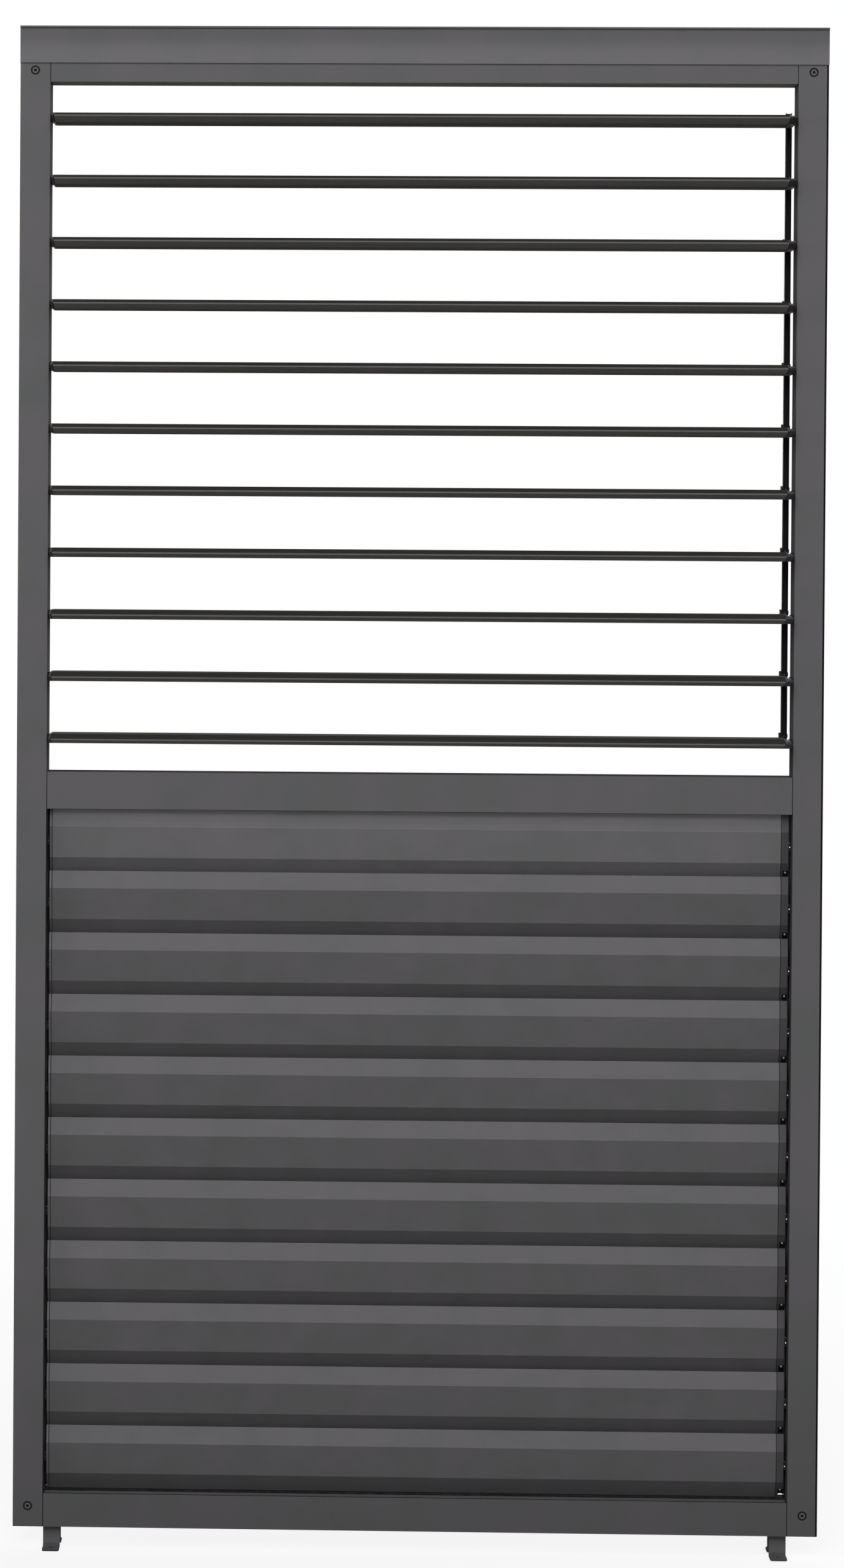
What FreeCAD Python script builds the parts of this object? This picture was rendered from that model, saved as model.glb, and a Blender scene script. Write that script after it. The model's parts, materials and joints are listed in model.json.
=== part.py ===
import FreeCAD, Part
import math
import os
import Sketcher

# Louvred screen panel: an aluminium frame with two banks of pivoting blades.
# Millimetres. X runs to the right, Y to the back and Z up. The origin lies on the floor,
# midway between the stiles and in the plane of the blade pivots.

DIMENSIONS = [
    ("frame_width", "1200", "width across both stiles"),
    ("frame_depth", "45", "front to back of stiles and rails"),
    ("stile_width", "45", "face width of a stile"),
    ("stile_wall", "2", "wall of the stile tube"),
    ("stile_outer_round", "3", "edge radius on the outer side of a stile"),
    ("stile_inner_round", "0.8", "edge radius on the opening side of a stile"),
    ("bottom_rail_height", "50", "height of the bottom rail"),
    ("mid_rail_height", "55", "height of the mid rail"),
    ("top_rail_height", "55", "height of the top rail, part of it inside the head channel"),
    ("top_rail_reveal", "28", "top rail left showing under the head channel"),
    ("rail_wall", "2", "wall of the rail tubes"),
    ("groove_lip", "3", "lip in front of and behind the grooves along a rail's upper face"),
    ("groove_width", "13", "width of each of those two grooves"),
    ("groove_depth", "6", "depth of those grooves"),
    ("head_height", "54.5", "height of the head channel"),
    ("head_wall", "2", "front and rear wall of the head channel"),
    ("head_web", "2.5", "top web of the head channel"),
    ("head_lip", "2.5", "overhang of the web beyond the walls"),
    ("head_clearance", "0.3", "room between the frame and each channel wall"),
    ("head_hole", "6.5", "diameter of the holes in the web"),
    ("head_hole_end", "50", "outer holes in the web, from the ends of the channel"),
    ("foot_height", "34", "floor to the underside of the bottom rail"),
    ("foot_width", "25", "width of a foot bracket"),
    ("foot_depth", "21", "outside of one leg to outside of the other"),
    ("foot_sheet", "2.5", "sheet thickness of a foot bracket"),
    ("foot_toe", "22", "length of each out-turned toe"),
    ("foot_bend", "3.5", "outer radius of the bends"),
    ("foot_corner", "4", "corner radius of the toes"),
    ("foot_hole", "6.5", "diameter of the floor screw hole in a toe"),
    ("foot_bolt", "8", "shank diameter of the bolt that holds a foot"),
    ("foot_bolt_head", "13", "head diameter of that bolt"),
    ("foot_bolt_cap", "5", "head height of that bolt"),
    ("foot_bolt_bite", "16", "length of that bolt inside the corner key"),
    ("bolt_clearance", "0.2", "room round a bolt shank in sheet metal"),
    ("blade_count", "11", "blades in each bank"),
    ("blade_chord", "97", "front edge to rear edge of a blade"),
    ("blade_overlap", "4.5", "how far neighbouring blades overlap when upright"),
    ("blade_thickness", "14", "thickness across the flats of a blade"),
    ("blade_flat", "47", "width of the flat middle of a blade"),
    ("blade_nose", "2", "height of the blunt edges of a blade"),
    ("blade_wall", "1.4", "wall of the hollow blade"),
    ("blade_tip", "5", "solid length behind each blunt edge"),
    ("end_room", "1.5", "upright blade to the rail next to it"),
    ("top_room", "4.5", "upright blade to the top rail"),
    ("lower_rest_angle", "84", "closing angle of the lower bank as it stands"),
    ("left_gap", "4", "stile to blade cap on the left"),
    ("right_gap", "4", "stile to blade cap on the right"),
    ("left_plate", "3", "thickness of the left cap's plate"),
    ("right_plate", "2.5", "thickness of the right cap's plate"),
    ("cap_spigot", "12", "depth of a cap's spigot inside the blade"),
    ("cap_clearance", "0.15", "room round that spigot"),
    ("pin_room", "0.02", "radial room of a pin that is glued in"),
    ("crank_inset", "9.5", "crank pin in from the rear edge of the blade"),
    ("crank_proud", "1.5", "crank pin proud of the blade's upper face"),
    ("crank_pin", "4", "diameter of the crank pin"),
    ("crank_head", "6.5", "diameter of the crank pin's head"),
    ("crank_head_height", "0.8", "height of the crank pin's head"),
    ("ear_width", "10", "width of the ear that carries the crank pin"),
    ("pivot_pin", "6", "diameter of the pivot pins"),
    ("pivot_bite", "7", "length of a pivot pin past the cap's plate, inside the blade"),
    ("pivot_reach", "9", "length of a pivot pin inside the stile"),
    ("running_clearance", "0.05", "radial room of a pin that turns"),
    ("bush_flange", "12", "side of a bush's square flange"),
    ("bush_sleeve", "9", "side of a bush's square sleeve"),
    ("bush_depth", "8", "length of a bush's sleeve inside the stile"),
    ("bush_play", "0.4", "end play between a bush and the blade cap"),
    ("tie_width", "9", "tie bar, side to side"),
    ("tie_depth", "7", "tie bar, front to back"),
    ("tie_wall", "1.5", "wall of the tie bar's channel"),
    ("tie_play", "0.5", "room between the cap's plate and the tie bar"),
    ("tie_room", "0.45", "room between the cap's block and the tie bar"),
    ("tie_side_room", "1", "room between the crank pin's head and the stile"),
    ("tie_head_play", "0.2", "room between the tie bar and the crank pin's head"),
    ("tie_end", "8", "tie bar beyond its end pins"),
    ("key_side_room", "2.5", "tube wall to the front and rear of the keys that join rails and stiles"),
    ("key_in_rail", "40", "length of a key inside its rail"),
    ("key_in_stile", "30", "length of a key inside its stile"),
    ("key_clearance", "0.2", "room round a key"),
    ("screw_head", "12.5", "head diameter of the countersunk corner screws"),
    ("screw_shank", "6", "shank diameter of those screws"),
    ("screw_length", "24", "length of those screws"),
    ("screw_socket", "4.6", "width across the corners of their sockets"),
    ("screw_socket_depth", "2.4", "depth of their sockets"),
    ("lower_screw_share", "0.62", "height of the lower screws, as a share of the bottom rail"),
    ("upper_screw_drop", "11", "upper screws under the head channel"),
    ("overrun", "1", "how far a cut runs past the face it leaves"),
]

# Sums that many pieces share, written with the names of the sheet.
BLADE_PITCH = "(size.blade_chord - size.blade_overlap)"
BANK_SPAN = f"(size.blade_count - 1) * {BLADE_PITCH}"
END_MARGIN = "(size.blade_chord / 2 + size.end_room)"
TOP_MARGIN = "(size.blade_chord / 2 + size.top_room)"
BOTTOM_RAIL_Z = "size.foot_height"
MID_RAIL_Z = f"{BOTTOM_RAIL_Z} + size.bottom_rail_height + 2 * {END_MARGIN} + {BANK_SPAN}"
UPPER_OPENING_Z = f"{MID_RAIL_Z} + size.mid_rail_height"
TOP_RAIL_Z = f"{UPPER_OPENING_Z} + {END_MARGIN} + {BANK_SPAN} + {TOP_MARGIN}"
HEAD_Z = f"{TOP_RAIL_Z} + size.top_rail_reveal"
OPENING_X = "size.frame_width / 2 - size.stile_width"
STILE_X = "size.frame_width / 2 - size.stile_width / 2"
LEFT_CAP_X = f"{OPENING_X} - size.left_gap"
RIGHT_CAP_X = f"{OPENING_X} - size.right_gap"
CRANK_GRIP = "(size.tie_play + size.tie_width + size.tie_head_play)"
RIGHT_BLOCK = f"({CRANK_GRIP} + size.crank_head_height + size.tie_side_room - size.right_gap)"
RIGHT_PLATE_X = f"{RIGHT_CAP_X} - {RIGHT_BLOCK}"
FOOT_X = f"{OPENING_X} - size.foot_width / 2"
KEY_HALF_DEPTH = "(size.frame_depth / 2 - size.rail_wall - size.key_side_room)"
CRANK_REACH = "(size.blade_chord / 2 - size.crank_inset)"
CRANK_RISE = "(size.blade_thickness / 2 + size.crank_proud)"

RAILS = {
    "bottom_rail": (BOTTOM_RAIL_Z, "size.bottom_rail_height"),
    "mid_rail": (MID_RAIL_Z, "size.mid_rail_height"),
    "top_rail": (TOP_RAIL_Z, "size.top_rail_height"),
}
SIDES = {"left": -1, "right": 1}
BANKS = {
    "upper": f"{TOP_RAIL_Z} - {TOP_MARGIN}",
    "lower": f"{MID_RAIL_Z} - {END_MARGIN}",
}

doc = FreeCAD.newDocument("louvred_screen")
sheet = doc.addObject("Spreadsheet::Sheet", "size")
nodes = []


def fill_sheet():
    """Write each driving dimension in a row of its own: name, value and meaning."""
    for row, (alias, value, meaning) in enumerate(DIMENSIONS, start=1):
        sheet.set(f"A{row}", alias)
        sheet.set(f"B{row}", value)
        sheet.set(f"C{row}", meaning)
        sheet.setAlias(f"B{row}", alias)
    doc.recompute()


def minus(term):
    """The same term with its sign turned."""
    return f"-({term})"


def signed(side, term):
    """A place on the right as it is, or mirrored to the left."""
    return term if SIDES[side] > 0 else minus(term)


def keep(item, label):
    """Count an object as a piece of the panel, under its own name."""
    item.Label = label
    nodes.append(item)
    return item


def place(item, x="0", y="0", z="0"):
    """Bind the three coordinates of an object's place."""
    for axis, term in zip("xyz", (x, y, z)):
        item.setExpression(f".Placement.Base.{axis}", term)
    return item


def turn(item, axis, degrees):
    """Turn an object about its own origin."""
    item.Placement = FreeCAD.Placement(FreeCAD.Vector(), FreeCAD.Rotation(axis, degrees))
    return item


def copy_of(pieces, name):
    """A placed copy of one or more finished pieces."""
    item = doc.addObject("Part::Compound", name)
    item.Links = pieces
    return item


def origin_feature(body, role):
    """One of the body's own base planes or axes."""
    return next(item for item in body.Origin.OriginFeatures if item.Role == role)


def new_sketch(body, name, role, offset=None):
    """A sketch on a base plane of its body, moved along the plane's normal."""
    sketch = body.newObject("Sketcher::SketchObject", name)
    sketch.AttachmentSupport = [(origin_feature(body, role), "")]
    sketch.MapMode = "FlatFace"
    if offset:
        sketch.setExpression(".AttachmentOffset.Base.z", offset)
    return sketch


def bind_point(sketch, geometry, position, corner):
    """Tie a point of the sketch to the two terms of a corner."""
    for kind, term in zip(("DistanceX", "DistanceY"), corner):
        index = sketch.addConstraint(Sketcher.Constraint(kind, -1, 1, geometry, position, 1.0))
        sketch.setExpression(f"Constraints[{index}]", term)


def draw_polygon(sketch, corners):
    """Draw a closed outline whose corners are pairs of terms."""
    first = sketch.GeometryCount
    count = len(corners)
    angles = [2 * math.pi * index / count for index in range(count)]
    ring = [FreeCAD.Vector(math.cos(angle), math.sin(angle), 0) for angle in angles]
    for index in range(count):
        sketch.addGeometry(Part.LineSegment(ring[index], ring[(index + 1) % count]))
    for index in range(count):
        following = first + (index + 1) % count
        sketch.addConstraint(Sketcher.Constraint("Coincident", first + index, 2, following, 1))
    for index, corner in enumerate(corners):
        bind_point(sketch, first + index, 1, corner)


def draw_circle(sketch, centre, diameter):
    """Draw a circle at a pair of terms."""
    unit_circle = Part.Circle(FreeCAD.Vector(1, 1, 0), FreeCAD.Vector(0, 0, 1), 1)
    geometry = sketch.addGeometry(unit_circle)
    index = sketch.addConstraint(Sketcher.Constraint("Diameter", geometry, 2.0))
    sketch.setExpression(f"Constraints[{index}]", diameter)
    bind_point(sketch, geometry, 3, centre)


def rectangle(low, high):
    """The corners of a rectangle between two pairs of terms."""
    return [low, (high[0], low[1]), high, (low[0], high[1])]


def add_pad(body, sketch, length, side="One side", backwards=False):
    """Raise a sketch into material."""
    pad = body.newObject("PartDesign::Pad", f"{sketch.Name}_pad")
    pad.Profile = sketch
    pad.SideType = side
    pad.Reversed = backwards
    pad.setExpression("Length", length)
    return pad


def add_pocket(body, sketch, length, side="One side", forwards=False):
    """Cut a sketch out of the material."""
    pocket = body.newObject("PartDesign::Pocket", f"{sketch.Name}_cut")
    pocket.Profile = sketch
    pocket.SideType = side
    pocket.Reversed = forwards
    pocket.setExpression("Length", length)
    return pocket


def repeat_down(body, feature):
    """Repeat a cut for each blade of a bank, from the top one down."""
    pattern = body.newObject("PartDesign::LinearPattern", f"{feature.Name}_row")
    pattern.Originals = [feature]
    pattern.Direction = (origin_feature(body, "Z_Axis"), [""])
    pattern.Reversed = True
    pattern.Mode = "Extent"
    pattern.setExpression("Length", BANK_SPAN)
    pattern.setExpression("Occurrences", "size.blade_count")
    body.Tip = pattern
    return pattern


def round_edges(body, name, radius, wanted):
    """Round the edges of the finished solid whose middle and direction are wanted."""
    doc.recompute()
    base = body.Tip
    names = []
    for number, edge in enumerate(base.Shape.Edges, start=1):
        middle = edge.valueAt((edge.FirstParameter + edge.LastParameter) / 2)
        direction = edge.tangentAt(edge.FirstParameter)
        if wanted(middle, direction):
            names.append(f"Edge{number}")
    fillet = body.newObject("PartDesign::Fillet", name)
    fillet.Base = (base, names)
    fillet.setExpression("Radius", radius)
    return fillet


def value(alias):
    """A driving dimension as a number, for picking edges and counting."""
    return sheet.get(alias)


def along(direction, axis):
    """True where an edge runs along one axis."""
    return abs(abs(direction.dot(axis)) - 1) < 1e-6


def near(first, second):
    """True where two lengths are the same."""
    return abs(first - second) < 1e-6


def cylinder(name, diameter, length):
    """A plain round bar that starts at the origin and runs up."""
    bar = doc.addObject("Part::Cylinder", name)
    bar.setExpression("Radius", f"({diameter}) / 2")
    bar.setExpression("Height", length)
    return bar


def joined(name, pieces):
    """One solid out of touching or overlapping bars."""
    item = doc.addObject("Part::MultiFuse", name)
    item.Shapes = pieces
    return item


def without(name, base, tools):
    """A solid with other solids cut away."""
    item = doc.addObject("Part::Cut", name)
    item.Base = base
    item.Tool = tools[0] if len(tools) == 1 else copy_of(tools, f"{name}_tools")
    return item


def box(name, low, high):
    """A plain block between two triples of terms."""
    block = doc.addObject("Part::Box", name)
    for key, start, end in zip(("Length", "Width", "Height"), low, high):
        block.setExpression(key, f"({end}) - ({start})")
    return place(block, *low)


def cavity_top(rail):
    """Height of the hollow inside a rail, from the floor."""
    rail_z, height = RAILS[rail]
    return f"{rail_z} + {height} - size.groove_depth - size.rail_wall"


def screw_z(rail):
    """Height of a corner screw, from the floor."""
    if rail == "bottom_rail":
        return f"{BOTTOM_RAIL_Z} + size.bottom_rail_height * size.lower_screw_share"
    return f"{HEAD_Z} - size.upper_screw_drop"


def make_stile(side):
    """A tube with bush holes and key windows in its inner wall and two countersinks in front."""
    inner_is_right = SIDES[side] < 0
    body = doc.addObject("PartDesign::Body", f"{side}_stile_tube")
    half = ("size.stile_width / 2", "size.frame_depth / 2")
    hollow = [f"{term} - size.stile_wall" for term in half]
    profile = new_sketch(body, f"{side}_stile_profile", "XY_Plane", BOTTOM_RAIL_Z)
    draw_polygon(profile, rectangle([minus(term) for term in half], half))
    draw_polygon(profile, rectangle([minus(term) for term in hollow], hollow))
    top = f"{TOP_RAIL_Z} + size.top_rail_height"
    add_pad(body, profile, f"{top} - ({BOTTOM_RAIL_Z})")

    half_width = value("stile_width") / 2
    outer_x = half_width * SIDES[side]
    upright = FreeCAD.Vector(0, 0, 1)
    round_edges(body, f"{side}_stile_outer_round", "size.stile_outer_round",
                lambda middle, direction: along(direction, upright) and near(middle.x, outer_x))
    round_edges(body, f"{side}_stile_inner_round", "size.stile_inner_round",
                lambda middle, direction: along(direction, upright) and near(middle.x, -outer_x))

    through_inner_wall = "size.stile_width / 2 + size.overrun"
    for bank, first_pivot in BANKS.items():
        hole = new_sketch(body, f"{side}_{bank}_bush_hole", "YZ_Plane")
        half_sleeve = "size.bush_sleeve / 2"
        low = (minus(half_sleeve), f"{first_pivot} - {half_sleeve}")
        draw_polygon(hole, rectangle(low, (half_sleeve, f"{first_pivot} + {half_sleeve}")))
        cut = add_pocket(body, hole, through_inner_wall, forwards=inner_is_right)
        repeat_down(body, cut)
    for rail, (rail_z, height) in RAILS.items():
        window = new_sketch(body, f"{side}_{rail}_window", "YZ_Plane")
        half_depth = f"{KEY_HALF_DEPTH} + size.key_clearance"
        low = (minus(half_depth), f"{rail_z} + size.rail_wall")
        draw_polygon(window, rectangle(low, (half_depth, cavity_top(rail))))
        add_pocket(body, window, through_inner_wall, forwards=inner_is_right)

    countersinks = []
    for rail in ("bottom_rail", "top_rail"):
        sink = doc.addObject("Part::Cone", f"{side}_{rail}_countersink")
        sink.setExpression("Radius1", "size.screw_shank / 2")
        sink.setExpression("Radius2", "size.screw_head / 2")
        sink.setExpression("Height", "(size.screw_head - size.screw_shank) / 2")
        turn(sink, FreeCAD.Vector(1, 0, 0), 90)
        place(sink, y="(size.screw_head - size.screw_shank) / 2 - size.frame_depth / 2", z=screw_z(rail))
        countersinks.append(sink)
    stile = without(f"{side}_stile_drilled", body, countersinks)
    place(stile, x=signed(side, STILE_X))
    keep(stile, f"{side}_stile")


def make_rail(rail):
    """A tube between the stiles with two grooves along its upper face."""
    rail_z, height = RAILS[rail]
    body = doc.addObject("PartDesign::Body", f"{rail}_tube")
    profile = new_sketch(body, f"{rail}_profile", "YZ_Plane")
    face = "size.frame_depth / 2"
    lip = f"{face} - size.groove_lip"
    land = f"{lip} - size.groove_width"
    floor = f"{height} - size.groove_depth"
    draw_polygon(profile, [
        (minus(face), "0"), (face, "0"), (face, height), (lip, height), (lip, floor), (land, floor),
        (land, height), (minus(land), height), (minus(land), floor), (minus(lip), floor),
        (minus(lip), height), (minus(face), height),
    ])
    hollow = f"{face} - size.rail_wall"
    low = (minus(hollow), "size.rail_wall")
    draw_polygon(profile, rectangle(low, (hollow, f"{floor} - size.rail_wall")))
    add_pad(body, profile, f"2 * ({OPENING_X})", side="Symmetric")
    if rail == "bottom_rail":
        holes = new_sketch(body, f"{rail}_foot_holes", "XY_Plane")
        for side in SIDES:
            draw_circle(holes, (signed(side, FOOT_X), "0"), "size.foot_bolt + 2 * size.bolt_clearance")
        add_pocket(body, holes, "2 * (size.rail_wall + size.overrun)", side="Symmetric")
    place(body, z=rail_z)
    keep(body, rail)


def make_head_channel():
    """The channel under the beam that takes the top of the frame."""
    body = doc.addObject("PartDesign::Body", "head_channel_body")
    profile = new_sketch(body, "head_channel_profile", "YZ_Plane")
    inside = "size.frame_depth / 2 + size.head_clearance"
    outside = f"{inside} + size.head_wall"
    lip = f"{outside} + size.head_lip"
    under_web = "size.head_height - size.head_web"
    draw_polygon(profile, [
        (minus(outside), "0"), (minus(inside), "0"), (minus(inside), under_web), (inside, under_web),
        (inside, "0"), (outside, "0"), (outside, under_web), (lip, under_web), (lip, "size.head_height"),
        (minus(lip), "size.head_height"), (minus(lip), under_web), (minus(outside), under_web),
    ])
    add_pad(body, profile, "size.frame_width", side="Symmetric")
    holes = new_sketch(body, "head_channel_holes", "XY_Plane", "size.head_height + size.overrun")
    outer_hole = "(size.frame_width / 2 - size.head_hole_end)"
    for side in SIDES:
        for distance in (outer_hole, f"{outer_hole} / 3"):
            draw_circle(holes, (signed(side, distance), "0"), "size.head_hole")
    add_pocket(body, holes, "size.head_web + 2 * size.overrun")
    place(body, z=HEAD_Z)
    keep(body, "head_channel")


def make_foot(side):
    """A bent bracket of hat section: a web under the rail, two legs and two toes."""
    body = doc.addObject("PartDesign::Body", f"{side}_foot_body")
    profile = new_sketch(body, f"{side}_foot_profile", "YZ_Plane")
    leg = "size.foot_depth / 2"
    inside = f"{leg} - size.foot_sheet"
    toe = f"{leg} + size.foot_toe"
    under_web = "size.foot_height - size.foot_sheet"
    draw_polygon(profile, [
        (minus(toe), "0"), (minus(inside), "0"), (minus(inside), under_web), (inside, under_web),
        (inside, "0"), (toe, "0"), (toe, "size.foot_sheet"), (leg, "size.foot_sheet"),
        (leg, "size.foot_height"), (minus(leg), "size.foot_height"), (minus(leg), "size.foot_sheet"),
        (minus(toe), "size.foot_sheet"),
    ])
    add_pad(body, profile, "size.foot_width", side="Symmetric")

    leg_y = value("foot_depth") / 2
    inside_y = leg_y - value("foot_sheet")
    toe_y = leg_y + value("foot_toe")
    height = value("foot_height")
    sheet_top = value("foot_sheet")
    across = FreeCAD.Vector(1, 0, 0)
    upright = FreeCAD.Vector(0, 0, 1)

    def outer_bend(middle, direction):
        at_web = near(abs(middle.y), leg_y) and near(middle.z, height)
        at_floor = near(abs(middle.y), inside_y) and near(middle.z, 0)
        return along(direction, across) and (at_web or at_floor)

    def inner_bend(middle, direction):
        at_web = near(abs(middle.y), inside_y) and near(middle.z, height - sheet_top)
        at_floor = near(abs(middle.y), leg_y) and near(middle.z, sheet_top)
        return along(direction, across) and (at_web or at_floor)

    round_edges(body, f"{side}_foot_outer_bends", "size.foot_bend", outer_bend)
    round_edges(body, f"{side}_foot_inner_bends", "size.foot_bend - size.foot_sheet", inner_bend)
    round_edges(body, f"{side}_foot_corners", "size.foot_corner",
                lambda middle, direction: along(direction, upright) and near(abs(middle.y), toe_y))

    holes = new_sketch(body, f"{side}_foot_holes", "XY_Plane")
    for end in (minus(leg), leg):
        toe_middle = f"{end} * (1 + size.foot_toe / size.foot_depth)"
        draw_circle(holes, ("0", toe_middle), "size.foot_hole")
    draw_circle(holes, ("0", "0"), "size.foot_bolt + 2 * size.bolt_clearance")
    add_pocket(body, holes, "2 * (size.foot_height + size.overrun)", side="Symmetric")
    place(body, x=signed(side, FOOT_X))
    keep(body, f"{side}_foot")


def make_foot_bolts():
    """One bolt up through each foot and the rail into the corner key."""
    grip = "size.foot_sheet + size.rail_wall + size.foot_bolt_bite"
    shank = cylinder("foot_bolt_shank", "size.foot_bolt", grip)
    head = cylinder("foot_bolt_head_bar", "size.foot_bolt_head", "size.foot_bolt_cap")
    place(head, z="-size.foot_bolt_cap")
    bolt = joined("foot_bolt_master", [shank, head])
    copies = []
    for side in SIDES:
        copy = copy_of([bolt], f"{side}_foot_bolt")
        place(copy, x=signed(side, FOOT_X), z="size.foot_height - size.foot_sheet")
        copies.append(copy)
    keep(copy_of(copies, "foot_bolts_group"), "foot_bolts")


def make_key(side, rail):
    """A block half inside the rail and half inside the stile, drilled for what screws into it."""
    near_end = f"{OPENING_X} - size.key_in_rail"
    far_end = f"{OPENING_X} + size.key_in_stile"
    ends = (near_end, far_end) if SIDES[side] > 0 else (minus(far_end), minus(near_end))
    rail_z, height = RAILS[rail]
    low_z = f"{rail_z} + size.rail_wall + size.key_clearance"
    high_z = f"{cavity_top(rail)} - size.key_clearance"
    block = box(f"{side}_{rail}_key_block", (ends[0], minus(KEY_HALF_DEPTH), low_z),
                (ends[1], KEY_HALF_DEPTH, high_z))
    if rail == "mid_rail":
        return block
    screw_hole = cylinder(f"{side}_{rail}_key_screw_hole", "size.screw_shank", "size.screw_length")
    turn(screw_hole, FreeCAD.Vector(1, 0, 0), -90)
    place(screw_hole, x=signed(side, STILE_X), y="-size.frame_depth / 2", z=screw_z(rail))
    holes = [screw_hole]
    if rail == "bottom_rail":
        depth = "size.foot_bolt_bite + size.overrun"
        bolt_hole = cylinder(f"{side}_key_bolt_hole", "size.foot_bolt", depth)
        place(bolt_hole, x=signed(side, FOOT_X), z=f"{BOTTOM_RAIL_Z} + size.rail_wall - size.overrun")
        holes.append(bolt_hole)
    return without(f"{side}_{rail}_key", block, holes)


def make_keys():
    """The keys of the four corners, and those of the mid rail."""
    corners = [make_key(side, rail) for side in SIDES for rail in ("bottom_rail", "top_rail")]
    keep(copy_of(corners, "corner_keys_group"), "corner_keys")
    keep(copy_of([make_key(side, "mid_rail") for side in SIDES], "rail_keys_group"), "rail_keys")


def make_corner_screws():
    """Four countersunk screws with hexagon sockets, flush with the front of the stiles."""
    cone_height = "(size.screw_head - size.screw_shank) / 2"
    head = doc.addObject("Part::Cone", "screw_head_cone")
    head.setExpression("Radius1", "size.screw_shank / 2")
    head.setExpression("Radius2", "size.screw_head / 2")
    head.setExpression("Height", cone_height)
    place(head, z=minus(cone_height))
    shank = cylinder("screw_shank_bar", "size.screw_shank", f"size.screw_length - {cone_height}")
    place(shank, z="-size.screw_length")
    socket = doc.addObject("Part::Prism", "screw_socket_prism")
    socket.Polygon = 6
    socket.setExpression("Circumradius", "size.screw_socket / 2")
    socket.setExpression("Height", "size.screw_socket_depth + size.overrun")
    place(socket, z="-size.screw_socket_depth")
    screw = without("screw_master", joined("screw_blank", [head, shank]), [socket])
    copies = []
    for side in SIDES:
        for rail in ("bottom_rail", "top_rail"):
            copy = turn(copy_of([screw], f"{side}_{rail}_screw"), FreeCAD.Vector(1, 0, 0), 90)
            place(copy, x=signed(side, STILE_X), y="-size.frame_depth / 2", z=screw_z(rail))
            copies.append(copy)
    keep(copy_of(copies, "corner_screws_group"), "corner_screws")


def make_bushes(side):
    """Square plastic bushes with a flange, snapped into the stile's inner wall at each blade end."""
    flange_length = f"size.{side}_gap - size.bush_play"
    half_flange = "size.bush_flange / 2"
    half_sleeve = "size.bush_sleeve / 2"
    flange = box(f"{side}_bush_flange", (minus(half_flange), minus(half_flange), "0"),
                 (half_flange, half_flange, flange_length))
    sleeve = box(f"{side}_bush_sleeve", (minus(half_sleeve), minus(half_sleeve), "-size.bush_depth"),
                 (half_sleeve, half_sleeve, "0"))
    bore_diameter = "size.pivot_pin + 2 * size.running_clearance"
    bore = cylinder(f"{side}_bush_bore", bore_diameter, f"size.bush_depth + {flange_length} + 2 * size.overrun")
    place(bore, z="-size.bush_depth - size.overrun")
    bush = without(f"{side}_bush_master", joined(f"{side}_bush_blank", [flange, sleeve]), [bore])
    copies = []
    for bank, first_pivot in BANKS.items():
        for number in range(int(value("blade_count"))):
            copy = copy_of([bush], f"{side}_{bank}_bush_{number + 1:02d}")
            turn(copy, FreeCAD.Vector(0, 1, 0), -90 * SIDES[side])
            place(copy, x=signed(side, OPENING_X), z=f"{first_pivot} - {number} * {BLADE_PITCH}")
            copies.append(copy)
    keep(copy_of(copies, f"{side}_bushes_group"), f"{side}_pivot_bushes")


def blade_outline(tip, tip_half, shoulder, shoulder_half):
    """The flat-sided outline of a blade, pointed at both edges."""
    return [
        (minus(tip), minus(tip_half)), (minus(shoulder), minus(shoulder_half)),
        (shoulder, minus(shoulder_half)), (tip, minus(tip_half)), (tip, tip_half),
        (shoulder, shoulder_half), (minus(shoulder), shoulder_half), (minus(tip), tip_half),
    ]


BLADE_HALF = "size.blade_thickness / 2"
NOSE_HALF = "size.blade_nose / 2"
CHORD_HALF = "size.blade_chord / 2"
FLAT_HALF = "size.blade_flat / 2"
BEVEL_SLOPE = f"({BLADE_HALF} - {NOSE_HALF}) / ({CHORD_HALF} - {FLAT_HALF})"
OUTER_BLADE = (CHORD_HALF, NOSE_HALF, FLAT_HALF, BLADE_HALF)
HOLLOW_TIP = f"{CHORD_HALF} - size.blade_tip"
HOLLOW_TIP_HALF = f"{NOSE_HALF} + size.blade_tip * {BEVEL_SLOPE} - size.blade_wall"
HOLLOW_HALF = f"{BLADE_HALF} - size.blade_wall"


def make_blade():
    """The hollow blade between its caps, lying flat with its pivot on the X axis."""
    body = doc.addObject("PartDesign::Body", "blade_master")
    start = f"-({LEFT_CAP_X}) + size.left_plate"
    profile = new_sketch(body, "blade_profile", "YZ_Plane", start)
    draw_polygon(profile, blade_outline(*OUTER_BLADE))
    draw_polygon(profile, blade_outline(HOLLOW_TIP, HOLLOW_TIP_HALF, FLAT_HALF, HOLLOW_HALF))
    add_pad(body, profile, f"{RIGHT_PLATE_X} - size.right_plate - ({start})")
    return body


def add_spigot(body, side, face_x):
    """The part of a cap that plugs into the blade."""
    spigot = new_sketch(body, f"{side}_cap_spigot", "YZ_Plane", face_x)
    room = "size.cap_clearance"
    draw_polygon(spigot, blade_outline(f"{HOLLOW_TIP} - {room}", f"{HOLLOW_TIP_HALF} - {room}",
                                       FLAT_HALF, f"{HOLLOW_HALF} - {room}"))
    add_pad(body, spigot, "size.cap_spigot", backwards=SIDES[side] > 0)


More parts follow.
